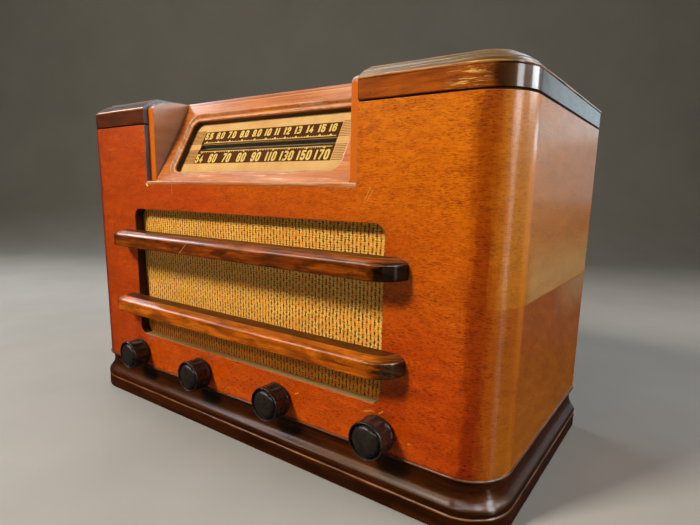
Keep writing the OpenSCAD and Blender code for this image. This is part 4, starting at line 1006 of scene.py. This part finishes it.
world = bpy.data.worlds.new("studio")
bpy.context.scene.world = world
world.use_nodes = True
wt = world.node_tree
bg = wt.nodes["Background"]
bg.inputs["Color"].default_value = (0.95, 0.97, 1.0, 1.0)
bg.inputs["Strength"].default_value = 0.012
bpy.context.scene.view_settings.view_transform = "Standard"
bpy.context.scene.view_settings.look = "None"

# ------------------------------------------------------------------- body


def put(nodes, key):
    """Gives carried-over CAD nodes a material."""
    for n in nodes:
        ob = NODES[n]
        ob.data.materials.clear()
        ob.data.materials.append(M[key])


def front_panel():
    b = Build()
    outer = [(-CX, BASE_H), (CX, BASE_H), (CX, WALL_TOP), (NH, WALL_TOP), (NH, NOTCH_Z), (-NH, NOTCH_Z),
             (-NH, WALL_TOP), (-CX, WALL_TOP)]
    grille = rounded(-145.5, 72.2, 145.5, 198.6, 8.0, 12)
    shafts = [arc(x, KNOB_Z, 6.0, 0, 360, 33)[:-1] for x in KNOBS.values()]
    place = lambda a, c, d: (a, d, c)
    plate(b, outer, [grille] + shafts, place, WALL, lip=0.25, hole_lip=0.6,
          grain=lambda a, c, d: (a, c, 7.0 + d), wear_edge=0.5)
    # painted shade: the thickness of the ply inside the grille opening is coloured near black where it sits in shade;
    # the upward-facing sill stays pale
    for i, f in enumerate(b.f):
        p = np.array([b.v[k] for k in f])
        c = p.mean(0)
        if 0.5 < p[:, 1].max() and p[:, 1].max() - p[:, 1].min() > 2 and abs(c[0]) < 146.2 and 71 < c[2] < 199.5:
            b.m[i] = 1
            if c[2] < 73.5 and abs(c[0]) < 140:
                b.m[i] = 2
        if abs(abs(c[0]) - NH) < 0.2 and p[:, 2].max() - p[:, 2].min() > 20:
            b.m[i] = 3
    b.make("front_veneer", None, "veneer", replaces=["front_panel"],
           mats=[M["veneer"], M["edge_shade"], M["edge_pale"], M["notch_edge"]])


front_panel()


def sides():
    for s, name in ((-1, "left"), (1, "right")):
        b = Build()
        path = [p for p in body_path(0.0) if p[4] > CX - 0.01]
        prof = [(-WALL, BASE_H + 0.01), (0.0, BASE_H + 0.01), (0.0, 90.0), (0.0, 150.0), (0.0, 210.0),
                (0.0, WALL_TOP - 0.3), (-0.1, WALL_TOP - 0.08), (-0.3, WALL_TOP), (-WALL, WALL_TOP)]
        n = len(b.v)
        for x, y, nx, ny, u in path:
            for o, z in prof:
                b.v.append((s * (x + nx * o), y + ny * o, z))
                b.g.append((s * u, z, 7.0 - o))
                b.w.append(0.0)
        m = len(prof)
        for f in grid_faces(len(path), m, close_m=True):
            f = f if s > 0 else tuple(reversed(f))
            b.f.append(f)
            b.m.append(0)
        for i in (0, len(path) - 1):
            cap = [i * m + k for k in range(m)]
            if (i == 0) == (s > 0):
                cap.reverse()
            b.f.append(tuple(cap))
            b.m.append(0)
        b.make(name + "_side_veneer", M["veneer"], "veneer", replaces=[name + "_side"])


sides()

CAP = ([(-20, CAP_B), (-0.35, CAP_B), (0, CAP_B + 0.35), (0, TOP - 11.1)]
       + spline([(0, TOP - 11.0), (0.35, TOP - 10.7), (0.6, TOP - 10.2), (0.62, TOP - 9.7), (0.3, TOP - 9.25),
                 (-0.15, TOP - 9.05)], 4)
       + spline([(-0.3, TOP - 8.95), (-0.95, TOP - 8.3), (-1.9, TOP - 7.45), (-3.1, TOP - 6.45)], 4)
       + [(-3.35, TOP - 6.3), (-3.75, TOP - 6.35), (-4.2, TOP - 6.2), (-4.35, TOP - 5.75)]
       + spline([(-4.5, TOP - 5.45), (-5.3, TOP - 4.95), (-8.0, TOP - 3.3), (-11.2, TOP - 1.75), (-13.4, TOP - 0.8)], 4)
       + [(-14.0, TOP - 0.45), (-14.5, TOP - 0.15), (-15.2, TOP)])


def caps():
    for s, name in ((-1, "left"), (1, "right")):
        b = Build()
        path = body_path(NH)
        path[0] = (NH + 0.05, 0.0, 0.0, -1.0, NH)
        m = len(CAP)
        run = [0.0]
        for p, q in zip(CAP, CAP[1:]):
            run.append(run[-1] + math.hypot(q[0] - p[0], q[1] - p[1]))
        for x, y, nx, ny, u in path:
            for k, (o, z) in enumerate(CAP):
                b.v.append((s * (x + nx * o), y + ny * o, z))
                b.g.append((s * u, run[k], 3.0))
                w = 0.0
                if TOP - 10.9 < z < TOP - 9.2:
                    w = 0.8
                elif z > TOP - 0.9 and o > -15.0:
                    w = 1.0
                elif z > TOP - 6.8 and o > -3.2:
                    w = 0.45
                elif z > TOP - 6.5 and o > -4.3:
                    w = -1.0
                elif z > TOP - 6.0 and o > -4.6:
                    w = 0.4
                elif z > TOP - 9.0:
                    w = 0.0
                elif s < 0 and CAP_B < z < TOP - 11.05 and o > -1:
                    w = -0.85
                b.w.append(w)
        for f in grid_faces(len(path), m):
            b.f.append(f if s > 0 else tuple(reversed(f)))
            b.m.append((2 if s > 0 else 3) if min(CAP[i % m][1] for i in f) > TOP - 9.1 else 0)
        # top face, the end against the notch, and the back
        last = [i * m + m - 1 for i in range(len(path))]
        n = len(b.v)
        extra = [(s * (NH + 0.05), DEPTH, TOP), (s * (NH + 0.05), DEPTH, TOP - 10), (s * (NH + 0.05), 20.0, TOP - 10),
                 (s * 210.0, DEPTH, TOP - 10)]
        b.v += extra
        b.g += [(s * NH, 240.0, 3.0), (s * NH, 240.0, 13.0), (s * NH, 60.0, 13.0), (s * 260.0, 240.0, 13.0)]
        b.w += [0.0] * 4
        top = last + [n]
        b.f.append(tuple(top) if s > 0 else tuple(reversed(top)))
        end = [k for k in range(m)] + [n, n + 1, n + 2]
        b.f.append(tuple(reversed(end)) if s > 0 else tuple(end))
        e = (len(path) - 1) * m
        bk = [e + k for k in range(m)] + [n, n + 1, n + 3]
        b.f.append(tuple(bk) if s > 0 else tuple(reversed(bk)))
        b.m += [0, 4, 0]
        # the recessed tongue under the cap, painted near black as the shade in its groove
        q = len(b.v)
        tongue = [(-1.5, CAP_B + 0.2), (-1.5, WALL_TOP), (-WALL, WALL_TOP), (-WALL, CAP_B + 0.2)]
        for x, y, nx, ny, u in path:
            for o, z in tongue:
                b.v.append((s * (x + nx * o), y + ny * o, z))
                b.g.append((s * u, z, 3.0))
                b.w.append(0.0)
        for f in grid_faces(len(path), 4):
            f = tuple(q + i for i in f)
            b.f.append(tuple(reversed(f)) if s > 0 else f)
            b.m.append(1)
        b.make(name + "_cap_moulding", None, "cap_wood", replaces=[name + "_cap"], angle=28.0,
               mats=[M["cap_wood"], M["edge_shade"], M["cap_slope"], M["left_slope"], M["notch_edge"]])


caps()

BASE = ([(-18, 0.6), (3.3, 0.6), (3.6, 0.9), (3.6, 11.9), (3.6, 12.5), (3.45, 12.95), (2.95, 13.4), (2.9, 13.6)]
        + spline([(2.95, 13.75), (3.25, 14.5), (3.5, 15.5), (3.5, 16.7), (3.15, 18.1), (2.3, 19.5), (0.75, 21.5),
                  (-0.8, 23.8), (-1.85, 26.4), (-2.35, 29.2), (-2.35, 31.8), (-1.9, 34.1), (-1.0, 36.0), (0.2, 37.2)], 4)
        + [(0.7, 37.45), (0.95, 37.7), (1.0, 38.6), (0.7, 39.0), (-18, 39.0)])


def base():
    b = Build()
    path = body_path()

    def wear(o, z):
        if 12.4 < z < 13.3 and o > 2:
            return 1.0
        if 37.3 < z and o > 0.5:
            return 0.5
        return 0.0

    sweep(b, path, BASE, wear)
    m = len(BASE)
    for i, rev in ((0, True), (len(path) - 1, False)):
        f = [i * m + k for k in range(m)]
        b.f.append(tuple(reversed(f)) if rev else tuple(f))
        b.m.append(0)
    n = len(path)
    for i in range(n - 1):  # the inner wall
        b.f.append((i * m, i * m + m - 1, (i + 1) * m + m - 1, (i + 1) * m))
        b.m.append(0)
    b.make("base_moulding_run", M["base_wood"], "base_wood", replaces=["base_moulding"], angle=40.0)


base()


def bars():
    L, D, H = 329.0, 21.0, 14.3
    for name, z in (("upper", 177.7), ("lower", 112.9)):
        b = Build()
        xr = L / 2 - D
        # offset inwards, height: from the lower edge up to the bevelled top
        sec = ([(2.0, z - H), (1.2, z - H)] + [(1.2 * (1 - math.sin(a)), z - H + 1.3 * (1 - math.cos(a)))
                                               for a in np.linspace(0.3, 1.5, 4)]
               + [(0, z - H + 1.5), (0, z - 5.4)]
               + spline([(0.02, z - 5.2), (0.15, z - 4.3), (0.5, z - 3.45), (1.1, z - 2.7), (1.95, z - 2.1), (3.0, z - 1.62)], 3)
               + [(4.0, z - 1.2), (6.6, z - 0.22)] + spline([(6.7, z - 0.19), (7.3, z - 0.05), (8.2, z)], 2) + [(12.0, z)])
        pts = [(-(L / 2), 0.0, -1.0, 0.0, 0.0)]
        u = 0.0
        for a in np.linspace(0, 90, 25)[1:]:
            t = math.radians(a)
            u = D * t
            pts.append((-xr - D * math.cos(t), -D * math.sin(t), -math.cos(t), -math.sin(t), u))
        for x in np.linspace(-xr, xr, 12)[1:]:
            pts.append((float(x), -D, 0.0, -1.0, u + x + xr))
        v = u + 2 * xr
        for a in np.linspace(90, 0, 25)[1:]:
            t = math.radians(a)
            pts.append((xr + D * math.cos(t), -D * math.sin(t), math.cos(t), -math.sin(t), v + D * (math.pi / 2 - t)))
        m = len(sec)
        run = [0.0]
        for p, q in zip(sec, sec[1:]):
            run.append(run[-1] + math.hypot(q[0] - p[0], q[1] - p[1]))
        for x, y, nx, ny, uu in pts:
            for k, (o, zz) in enumerate(sec):
                # near the ends the section narrows in plan but stays on the front face
                px_, py_ = x - nx * o, min(y - ny * o, 0.0)
                b.v.append((px_, py_, zz))
                b.g.append((px_ * 1.0, run[k] + 0.3 * py_, z * 0.3))
                # painted highlight: pale flecks carried in the wear attribute on the chamfers near the right ends stand
                # in for glints; the tops' back edge gets a negative, darker value
                glint = 0.5 if px_ > 141.0 and 1.5 < o < 7.0 and zz > z - 5 else 0.0
                b.w.append(0.7 if 0.4 < o < 0.9 and zz > z - 5 or 6.4 < o < 7.5 else (-0.7 if o > 7.6 else glint))
        for f in grid_faces(len(pts), m):
            b.f.append(f)
            # painted shade: faces round the right ends take the near-black end materials
            end = min(pts[i // m][0] for i in f) > 154.0 and max(sec[i % m][0] for i in f) < 0.3
            b.m.append(1 if min(sec[i % m][0] for i in f) > 8.1 else (2 if end else 0))
        top = [i * m + m - 1 for i in range(len(pts))]
        b.f.append(tuple(top))
        low = [i * m for i in range(len(pts))]
        b.f.append(tuple(reversed(low)))
        b.m += [1, 0]
        b.make(name + "_cross_bar", None, "bar_wood", replaces=[name + "_bar"], angle=42.0,
               mats=[M[name + "_bar_wood"], M["bar_top"], M[name + "_bar_end"]])


bars()


def grille():
    """The cloth, stretched on its board, a little slack between the edges."""
    b = Build()
    nx, nz = 151, 66
    x0, x1, z0, z1 = -150.0, 150.0, 67.2, 203.6
    xs, zs = np.linspace(x0, x1, nx), np.linspace(z0, z1, nz)
    rng = np.random.default_rng(7)
    ph = rng.uniform(0, 6.28, 8)
    for x in xs:
        for z in zs:
            e = min((x - x0), (x1 - x), (z - z0), (z1 - z))
            k = min(1.0, max(0.0, (e - 5) / 20.0))
            y = 9.28 + 0.10 * k * (math.sin(x / 17 + ph[0]) * math.sin(z / 23 + ph[1]) + math.sin(x / 41 + ph[2]))
            b.v.append((x, y, z))
            b.g.append((x, z, 0.0))
            b.w.append(0.0)
    for f in grid_faces(nx, nz):
        b.f.append(f)
        b.m.append(0)
    ob = b.make("grille_cloth_sheet", M["cloth"], "cloth", replaces=["grille_cloth"], weighted=False)


grille()

# -------------------------------------------------------------------- dial


def opening(e, r0=11.0):
    """Outline of the dial opening, e inside its outer arris."""
    return rounded(-100 + e, 12.7 + e, 100 - e, 75.5 - 1.6 * e, max(r0 - e, 6.5), 12)


def bezel():
    b = Build()
    s_top = (300.5 - NOTCH_Z) / CT
    outer = [(-(CI - 0.1), 3.3), (CI - 0.1, 3.3), (CI - 0.1, s_top), (-(CI - 0.1), s_top)]
    rings = [(3.05, 8.68), (3.05, 4.2), (2.98, 3.3), (2.75, 2.75), (2.35, 2.55), (1.9, 2.62), (1.3, 2.5), (0.75, 2.1),
             (0.35, 1.5), (0.1, 0.8), (-0.15, 0.3), (-0.6, 0.05), (-1.1, 0.0)]
    place = slope
    idx = []
    nper = len(opening(1.0))
    for e, d in rings:
        lp = opening(e)
        n = len(b.v)
        b.v += [tuple(place(x, s, d)) for x, s in lp]
        b.g += [(x, s + d, 2.0) for x, s in lp]
        b.w += [1.0 if x < -90 and -0.9 < e < 2.9 else (0.9 if 1.8 < e < 2.8 else (0.6 if -0.7 < e < 0.4 else 0.0)) for x, _ in lp]
        idx.append(list(range(n, n + nper)))
    # painted shade: the deepest ring of the jamb takes the near-black edge colour
    for k in range(len(idx) - 1):
        for i in range(nper):
            j = (i + 1) % nper
            b.f.append((idx[k][j], idx[k][i], idx[k + 1][i], idx[k + 1][j]))
            b.m.append(1 if k < 1 else 0)
    # front face: outer arris rings and the filled sheet
    oi = []
    for ins, d in ((0.0, 7.2), (0.0, 0.5), (0.15, 0.15), (0.5, 0.0)):
        lp = offset(outer, ins) if ins else outer
        n = len(b.v)
        b.v += [tuple(place(x, s, d)) for x, s in lp]
        b.g += [(x, s + d, 2.0) for x, s in lp]
        b.w += [0.5 if 0 < ins < 0.4 else 0.0] * 4
        oi.append(list(range(n, n + 4)))
    for k in range(3):
        for i in range(4):
            j = (i + 1) % 4
            b.f.append((oi[k][i], oi[k][j], oi[k + 1][j], oi[k + 1][i]))
            b.m.append(0)
    o2, h2 = offset(outer, 0.5), opening(-1.1)
    tri = fill([o2, h2], 0, [1])
    order = oi[-1] + idx[-1]
    for t in tri:
        b.f.append(tuple(order[i] for i in t))
        b.m.append(0)
    # back face, a ring from the outer edge to the jamb
    o2, h2 = outer, opening(3.05)
    order = oi[0] + idx[0]
    for t in fill([o2, h2], 0, [1]):
        b.f.append(tuple(order[i] for i in reversed(t)))
        b.m.append(0)
    # nose moulding across the foot of the notch, worn along its front
    sec = ([(0.2, 222.02), (-0.1, 222.1)]
           + spline([(-0.25, 222.3), (-0.4, 222.9), (-0.4, 223.7), (-0.28, 224.6), (0.15, 225.2), (0.9, 225.45), (2.0, 225.55)], 3)
           + [(3.9, 225.6), (4.28, 225.5), (4.28, 222.02)])
    xs = list(np.linspace(-121.35, 121.35, 60))
    rngn = np.random.default_rng(11)
    dent = rngn.normal(0, 0.06, len(xs))
    n0 = len(b.v)
    m = len(sec)
    for i, x in enumerate(xs):
        chip = 0.0
        if x > 116.0:
            chip = min(1.0, (x - 116.0) / 4.0)
        for k, (y, z) in enumerate(sec):
            dy = dent[i] * (1 if 1 < k < m - 3 else 0)
            yy = max(y + max(dy, 0.0) + (0.55 * chip if y < 1.5 else 0.0), -0.4)
            zz = z - (0.35 * chip if z > 225 and y < 3 else 0)
            b.v.append((x, yy, zz))
            b.g.append((x, k * 0.7 + 90.0, 5.0))
            b.w.append((1.0 if z > 224 else 0.7) * min(1.0, max(0.25, (x + 10.0) / 90.0)) if 1 < k < m - 4 else 0.0)
    for f in grid_faces(len(xs), m, close_m=True):
        b.f.append(tuple(n0 + i for i in reversed(f)))
        b.m.append(0)
    for i, rev in ((0, False), (len(xs) - 1, True)):
        f = [n0 + i * m + k for k in range(m)]
        b.f.append(tuple(reversed(f)) if rev else tuple(f))
        b.m.append(0)
    b.make("dial_bezel", None, "dial_wood", replaces=["dial_frame"], mats=[M["dial_wood"], M["edge_shade"]], angle=40.0)


bezel()


def boards():
    """The two boards that line the notch."""
    top_y = DIAL_Y + math.tan(TILT) * (300.5 - NOTCH_Z)
    for s, name in ((-1, "left"), (1, "right")):
        b = Build()
        zt = 300.0
        outline = ([(4.4, 225.7), (top_y + 14.8, 225.7), (top_y + 14.8, 291.4), (top_y, 291.4), (top_y, zt)]
                   + spline([(33.0, zt - 0.05), (24.0, zt - 0.9), (15.0, zt - 2.5), (9.0, zt - 4.6), (5.6, zt - 7.0), (4.4, zt - 9.2)], 5))
        if s > 0:
            place = lambda a, c, d: (CI + 0.02 + d, a, c)
            ol = outline
        else:
            place = lambda a, c, d: (-(CI + 0.02) - d, a, c)
            ol = outline
        bb = Build()
        plate(bb, ol, [], place, 8.46, lip=0.45, grain=lambda a, c, d: (a, c, d), wear_edge=0.9)
        if s < 0:
            pass
        else:
            bb.f = [tuple(reversed(f)) for f in bb.f]
        # the front edge keeps the wood's own orange, without the painted cool light of the faces
        bb.w = [1.0 if v[1] < 4.7 else 0.0 for v in bb.v]
        bb.make(name + "_cheek_board", M["cheek_wood"], "cheek_wood", replaces=[name + "_cheek"])


boards()


def top_board():
    b = Build()
    top_y = DIAL_Y + math.tan(TILT) * (300.5 - NOTCH_Z)
    outline = [(-NH + 0.05, top_y + 0.12), (NH - 0.05, top_y + 0.12), (NH - 0.05, DEPTH - 0.05), (-NH + 0.05, DEPTH - 0.05)]
    plate(b, outline, [], lambda a, c, d: (a, c, 300.5 - d), 8.98, lip=0.5, grain=lambda a, c, d: (a, c, d), wear_edge=0.7)
    b.make("top_board", M["top_wood"], "top_wood", replaces=["top_panel"])


top_board()

# ------------------------------------------------------------- dial printing


def strokes(digit, w, h):
    """Centre lines of a narrow numeral in a box w by h."""
    r = min(w, h) * 0.42

    def corner(cx, cy, a0, a1):
        return arc(cx, cy, r, a0, a1, 5)

    mid = h * 0.52
    ring = (corner(w - r, r, -90, 0) + corner(w - r, h - r, 0, 90) + corner(r, h - r, 90, 180) + corner(r, r, 180, 270))
    if digit == "0":
        return [(ring, True)]
    if digit == "1":
        return [([(w * 0.5, h), (w * 0.5, 0)], False)]
    if digit == "2":
        return [([(0, h * 0.72)] + corner(r, h - r, 180, 90) + corner(w - r, h - r, 90, 0) + [(w, h * 0.62), (w * 0.05, 0), (w, 0)], False)]
    if digit == "3":
        return [([(-w * 0.05, h), (w - r, h)] + corner(w - r, h - r, 90, 0) + [(w, h * 0.62), (w * 0.80, mid), (w * 0.42, mid)], False),
                ([(w * 0.80, mid), (w, h * 0.42)] + corner(w - r, r, 0, -90) + [(-w * 0.05, 0)], False)]
    if digit == "4":
        return [([(w * 0.72, 0), (w * 0.72, h), (0, h * 0.27), (w * 1.05, h * 0.27)], False)]
    if digit == "5":
        return [([(w, h), (w * 0.06, h), (w * 0.06, h * 0.56), (w * 0.55, h * 0.60)]
                 + arc(w - r, h * 0.60 - r, r, 90, 0, 5) + corner(w - r, r, 0, -90) + corner(r, r, -90, -180) + [(0, h * 0.2)], False)]
    if digit == "6":
        return [([(w, h * 0.8)] + corner(w - r, h - r, 0, 90) + corner(r, h - r, 90, 180) + corner(r, r, 180, 270)
                 + corner(w - r, r, -90, 0) + arc(w - r, mid - r + h * 0.03, r, 0, 90, 5) + [(0, mid + h * 0.03)], False)]
    if digit == "7":
        return [([(0, h), (w, h), (w * 0.92, h * 0.8), (w * 0.36, 0)], False)]
    if digit == "8":
        return [(ring, True), ([(0, mid), (w, mid)], False)]
    if digit == "9":
        return [([(0, h * 0.2)] + corner(r, r, 180, 270) + corner(w - r, r, -90, 0) + corner(w - r, h - r, 0, 90)
                 + corner(r, h - r, 90, 180) + arc(r, mid + r - h * 0.05, r, 180, 270, 5) + [(w, mid - h * 0.05)], False)]
    return []


def stroke(b, pts, t, place, closed=False):
    """A flat line of width t along pts."""
    p = [pts[0]]
    for q in pts[1:]:
        if math.hypot(q[0] - p[-1][0], q[1] - p[-1][1]) > 1e-3:
            p.append(q)
    if closed and math.hypot(p[0][0] - p[-1][0], p[0][1] - p[-1][1]) < 1e-3:
        p.pop()
    n = len(p)
    a = []
    for i in range(n):
        u = np.array(p[i]) - np.array(p[i - 1]) if i or closed else None
        v = np.array(p[(i + 1) % n]) - np.array(p[i]) if i < n - 1 or closed else None
        u = v if u is None else u
        v = u if v is None else v
        u, v = u / np.linalg.norm(u), v / np.linalg.norm(v)
        nu, nv = np.array([-u[1], u[0]]), np.array([-v[1], v[0]])
        m = nu + nv
        k = max(float(m @ nu), 0.6)
        o = m / k * t / 2
        c = np.array(p[i], float)
        if not closed and i == 0:
            c = c - v * t * 0.35
        if not closed and i == n - 1:
            c = c + u * t * 0.35
        a.append((c + o, c - o))
    s = len(b.v)
    for l, r_ in a:
        for q in (l, r_):
            b.v.append(tuple(place(q[0], q[1])))
            b.g.append((q[0], q[1], 0.0))
            b.w.append(0.0)
    for i in range(n if closed else n - 1):
        j = (i + 1) % n
        b.f.append((s + 2 * i, s + 2 * i + 1, s + 2 * j + 1, s + 2 * j))
        b.m.append(0)


def quad(b, x0, s0, x1, s1, d):
    n = len(b.v)
    b.v += [slope(x0, s0, d), slope(x1, s0, d), slope(x1, s1, d), slope(x0, s1, d)]
    b.g += [(x0, s0, 0), (x1, s0, 0), (x1, s1, 0), (x0, s1, 0)]
    b.w += [0.0] * 4
    b.f.append((n, n + 1, n + 2, n + 3))
    b.m.append(0)


PD = 8.80  # depth of the plate's face


def printing():
    # the plate itself, with its long window
    b = Build()
    outer = [(-103, 10.4), (103, 10.4), (103, 75.5), (-103, 75.5)]
    win = [(-80.7, 42.4), (80.7, 42.4), (80.7, 47.7), (-80.7, 47.7)]
    plate(b, outer, [win], lambda a, c, d: slope(a, c, PD + d), 0.8, lip=0.12, hole_lip=0.1)
    b.make("dial_plate_sheet", M["dial_cream"], "dial_print", replaces=["dial_plate"])
    # the card that the window shows, in front of the lamps
    b = Build()
    plate(b, rounded(-98.0, 30.0, 98.0, 60.0, 3.0, 6), [], lambda a, c, d: slope(a, c, 13.9 + d), 0.46, lip=0.12)
    b.make("dial_window_card", M["window_card"], "dial_print")
    # brown bands
    b = Build()
    quad(b, -81.4, 47.9, 81.0, 61.7, PD - 0.03)
    quad(b, -81.4, 27.6, 81.0, 42.5, PD - 0.03)
    b.make("dial_bands", M["dial_brown"], "dial_print", smooth=False)
    # fine lines at both ends and round the bands
    b = Build()
    for s in (-1, 1):
        for k in range(24):
            z = 27.9 + k * 1.49
            if 42.0 < z < 47.6:
                continue
            w = 0.62 if s > 0 else 0.95
            a, c = sorted((s * 81.6, s * 98.0))
            quad(b, a, z, c, z + w, PD - 0.03)
    b.make("dial_end_lines", M["dial_line"], "dial_print", smooth=False)
    # scales and numbers
    b = Build()
    up = [("5.5", -74.4), ("6.0", -58.4), ("7.0", -42.9), ("8.0", -26.5), ("9.0", -10.7), ("10", 2.8), ("11", 13.6),
          ("12", 25.0), ("13", 37.0), ("14", 49.7), ("15", 61.9), ("16", 73.0)]
    lo = [("54", -75.4), ("60", -56.7), ("70", -38.0), ("80", -18.7), ("90", -0.9), ("110", 16.9), ("130", 34.5),
          ("150", 53.3), ("170", 71.2)]

    def write(text, x, s, w, h, gap, t):
        widths = [0.25 * t if c == "." else (w * 0.30 if c == "1" else w) for c in text]
        if "." in text:
            gap -= 0.66
        total = sum(widths) + gap * (len(text) - 1)
        at = x - total / 2
        for c, cw in zip(text, widths):
            if c == ".":
                quad_at(at + cw / 2, s - t * 0.1, t * 0.6)
            else:
                for pts, closed in strokes(c, cw, h):
                    stroke(b, pts, t, lambda a, q, at=at: slope(at + a, s + q, PD - 0.06), closed)
            at += cw + gap

    def quad_at(x, s, t):
        n = len(b.v)
        for a, q in ((-1, -1), (1, -1), (1, 1), (-1, 1)):
            b.v.append(slope(x + a * t * 0.5, s + q * t * 0.5, PD - 0.06))
            b.g.append((x, s, 0))
            b.w.append(0)
        b.f.append((n, n + 1, n + 2, n + 3))
        b.m.append(0)

    for text, x in up:
        write(text, x, 54.2, 2.6, 5.65, 2.26, 1.75)
    for text, x in lo:
        write(text, x, 29.33, 2.95, 7.35, 2.9, 1.85)
    quad(b, -78.0, 49.3, 78.5, 50.0, PD - 0.06)
    quad(b, -78.0, 39.9, 78.5, 40.6, PD - 0.06)
    for text, x in up:
        n = len(b.v)
        pts = [(x - 1.5, 50.0), (x + 1.5, 50.0), (x + 0.9, 51.1), (x, 51.5), (x - 0.9, 51.1)]
        b.v += [slope(a, q, PD - 0.06) for a, q in pts]
        b.g += [(a, q, 0) for a, q in pts]
        b.w += [0] * 5
        b.f.append(tuple(range(n, n + 5)))
        b.m.append(0)
    xs = [x for _, x in up]
    for a, c in zip(xs, xs[1:]):
        for k in (1, 2, 3):
            x = a + (c - a) * k / 4
            quad(b, x - 0.22, 50.0, x + 0.22, 50.75, PD - 0.06)
    xs = [x for _, x in lo]
    for x in xs:
        n = len(b.v)
        pts = [(x - 1.3, 39.9), (x - 0.9, 38.7), (x, 38.3), (x + 0.9, 38.7), (x + 1.3, 39.9)]
        b.v += [slope(a, q, PD - 0.06) for a, q in pts]
        b.g += [(a, q, 0) for a, q in pts]
        b.w += [0] * 5
        b.f.append(tuple(range(n, n + 5)))
        b.m.append(0)
    for a, c in zip(xs, xs[1:]):
        steps = 6 if a < 10 else 8
        for k in range(1, steps):
            x = a + (c - a) * k / steps
            long = 1.1 if k % 2 == 0 else 0.8
            quad(b, x - 0.25, 39.9 - long, x + 0.25, 39.9, PD - 0.06)
    b.make("dial_scales", M["dial_yellow"], "dial_print", smooth=False)


printing()

# -------------------------------------------------------------------- knobs

KNOB = (spline([(0.0, -19.2), (3.2, -19.14), (5.8, -18.92), (7.8, -18.52), (9.3, -17.9), (10.4, -17.1), (11.1, -16.2),
                (11.5, -15.5)], 5)
        + spline([(11.65, -15.1), (11.95, -14.85), (12.3, -15.2), (12.5, -16.0)], 3)
        + spline([(12.6, -16.8), (12.85, -17.2), (13.2, -17.32), (13.6, -17.1), (13.9, -16.6), (14.07, -15.9)], 4)
        + [(14.02, -15.2), (13.95, -14.6), (13.9, -14.2), (13.85, -12.0), (13.82, -9.0), (13.85, -6.0), (13.9, -4.4),
           (13.97, -3.7)] + spline([(14.05, -3.3), (14.15, -2.8), (14.1, -2.2), (13.8, -1.75)], 3)
        + [(3.2, -1.72), (3.2, -13.4), (0.0, -13.4)])


def knobs():
    for name, x0 in KNOBS.items():
        b = Build()
        flutes = 12

        def radial(a, r, h):
            if 13.6 < r < 14.2 and -15.1 < h < -3.4:
                t = (a * flutes / (2 * math.pi)) % 1.0
                k = max(0.0, 1 - abs(t - 0.5) / 0.44)
                depth = 0.85 * (1 - (1 - k) ** 2)
                fade = min(1.0, (h + 15.1) / 1.2, (-3.4 - h) / 1.2)
                return r - depth * max(0.0, fade)
            return r

        lathe(b, KNOB, lambda px_, py_, h: (x0 + px_, h, KNOB_Z + py_), n=14 * 12, radial=radial,
              grain=lambda px_, py_, h: (px_ + x0, py_, h))
        b.make(name + "_knob_cap", M["bakelite"], "bakelite", body=name, replaces=[name + "_knob"], angle=50.0,
               weighted=False)


knobs()

# ------------------------------------------------------ carried-over nodes

put(["base_back_rail", "bottom_board", "corner_blocks", "back_cleats"], "raw_wood")
put(["speaker_board"], "board")
put(["foot_pads", "knob_felts"], "felt")
put(["bar_screws", "back_screws"], "screw_metal")
put(["speaker_basket", "capacitor_frame"], "frame_steel")
put(["speaker_cone"], "paper")
put(["speaker_magnet"], "magnet_steel")
put(["output_transformer", "power_transformer"], "core_steel")
put(["dial_glass"], "dial_glass")
put(["dial_pan"], "pan_steel")
put(["dial_pointer"], "pointer_red")
put(["dial_lamps"], "lamp_glass")
put(["lamp_sockets", "tuning_bushing", "control_nuts", "chassis", "chassis_bolts"], "plated")
put(["volume_shaft", "tone_shaft", "band_shaft", "tuning_shaft"], "shaft_steel")
put(["volume_control", "tone_control"], "frame_steel")
put(["band_switch", "tube_sockets"], "wafer")
put(["dial_drum", "capacitor_rotor", "capacitor_stators", "coil_cans", "filter_can"], "aluminium")
put(["tube_bases"], "valve_base")
put(["tubes"], "valve_glass")
put(["back_cover", "terminal_strip"], "fibreboard")
put(["cord_grommet"], "rubber")
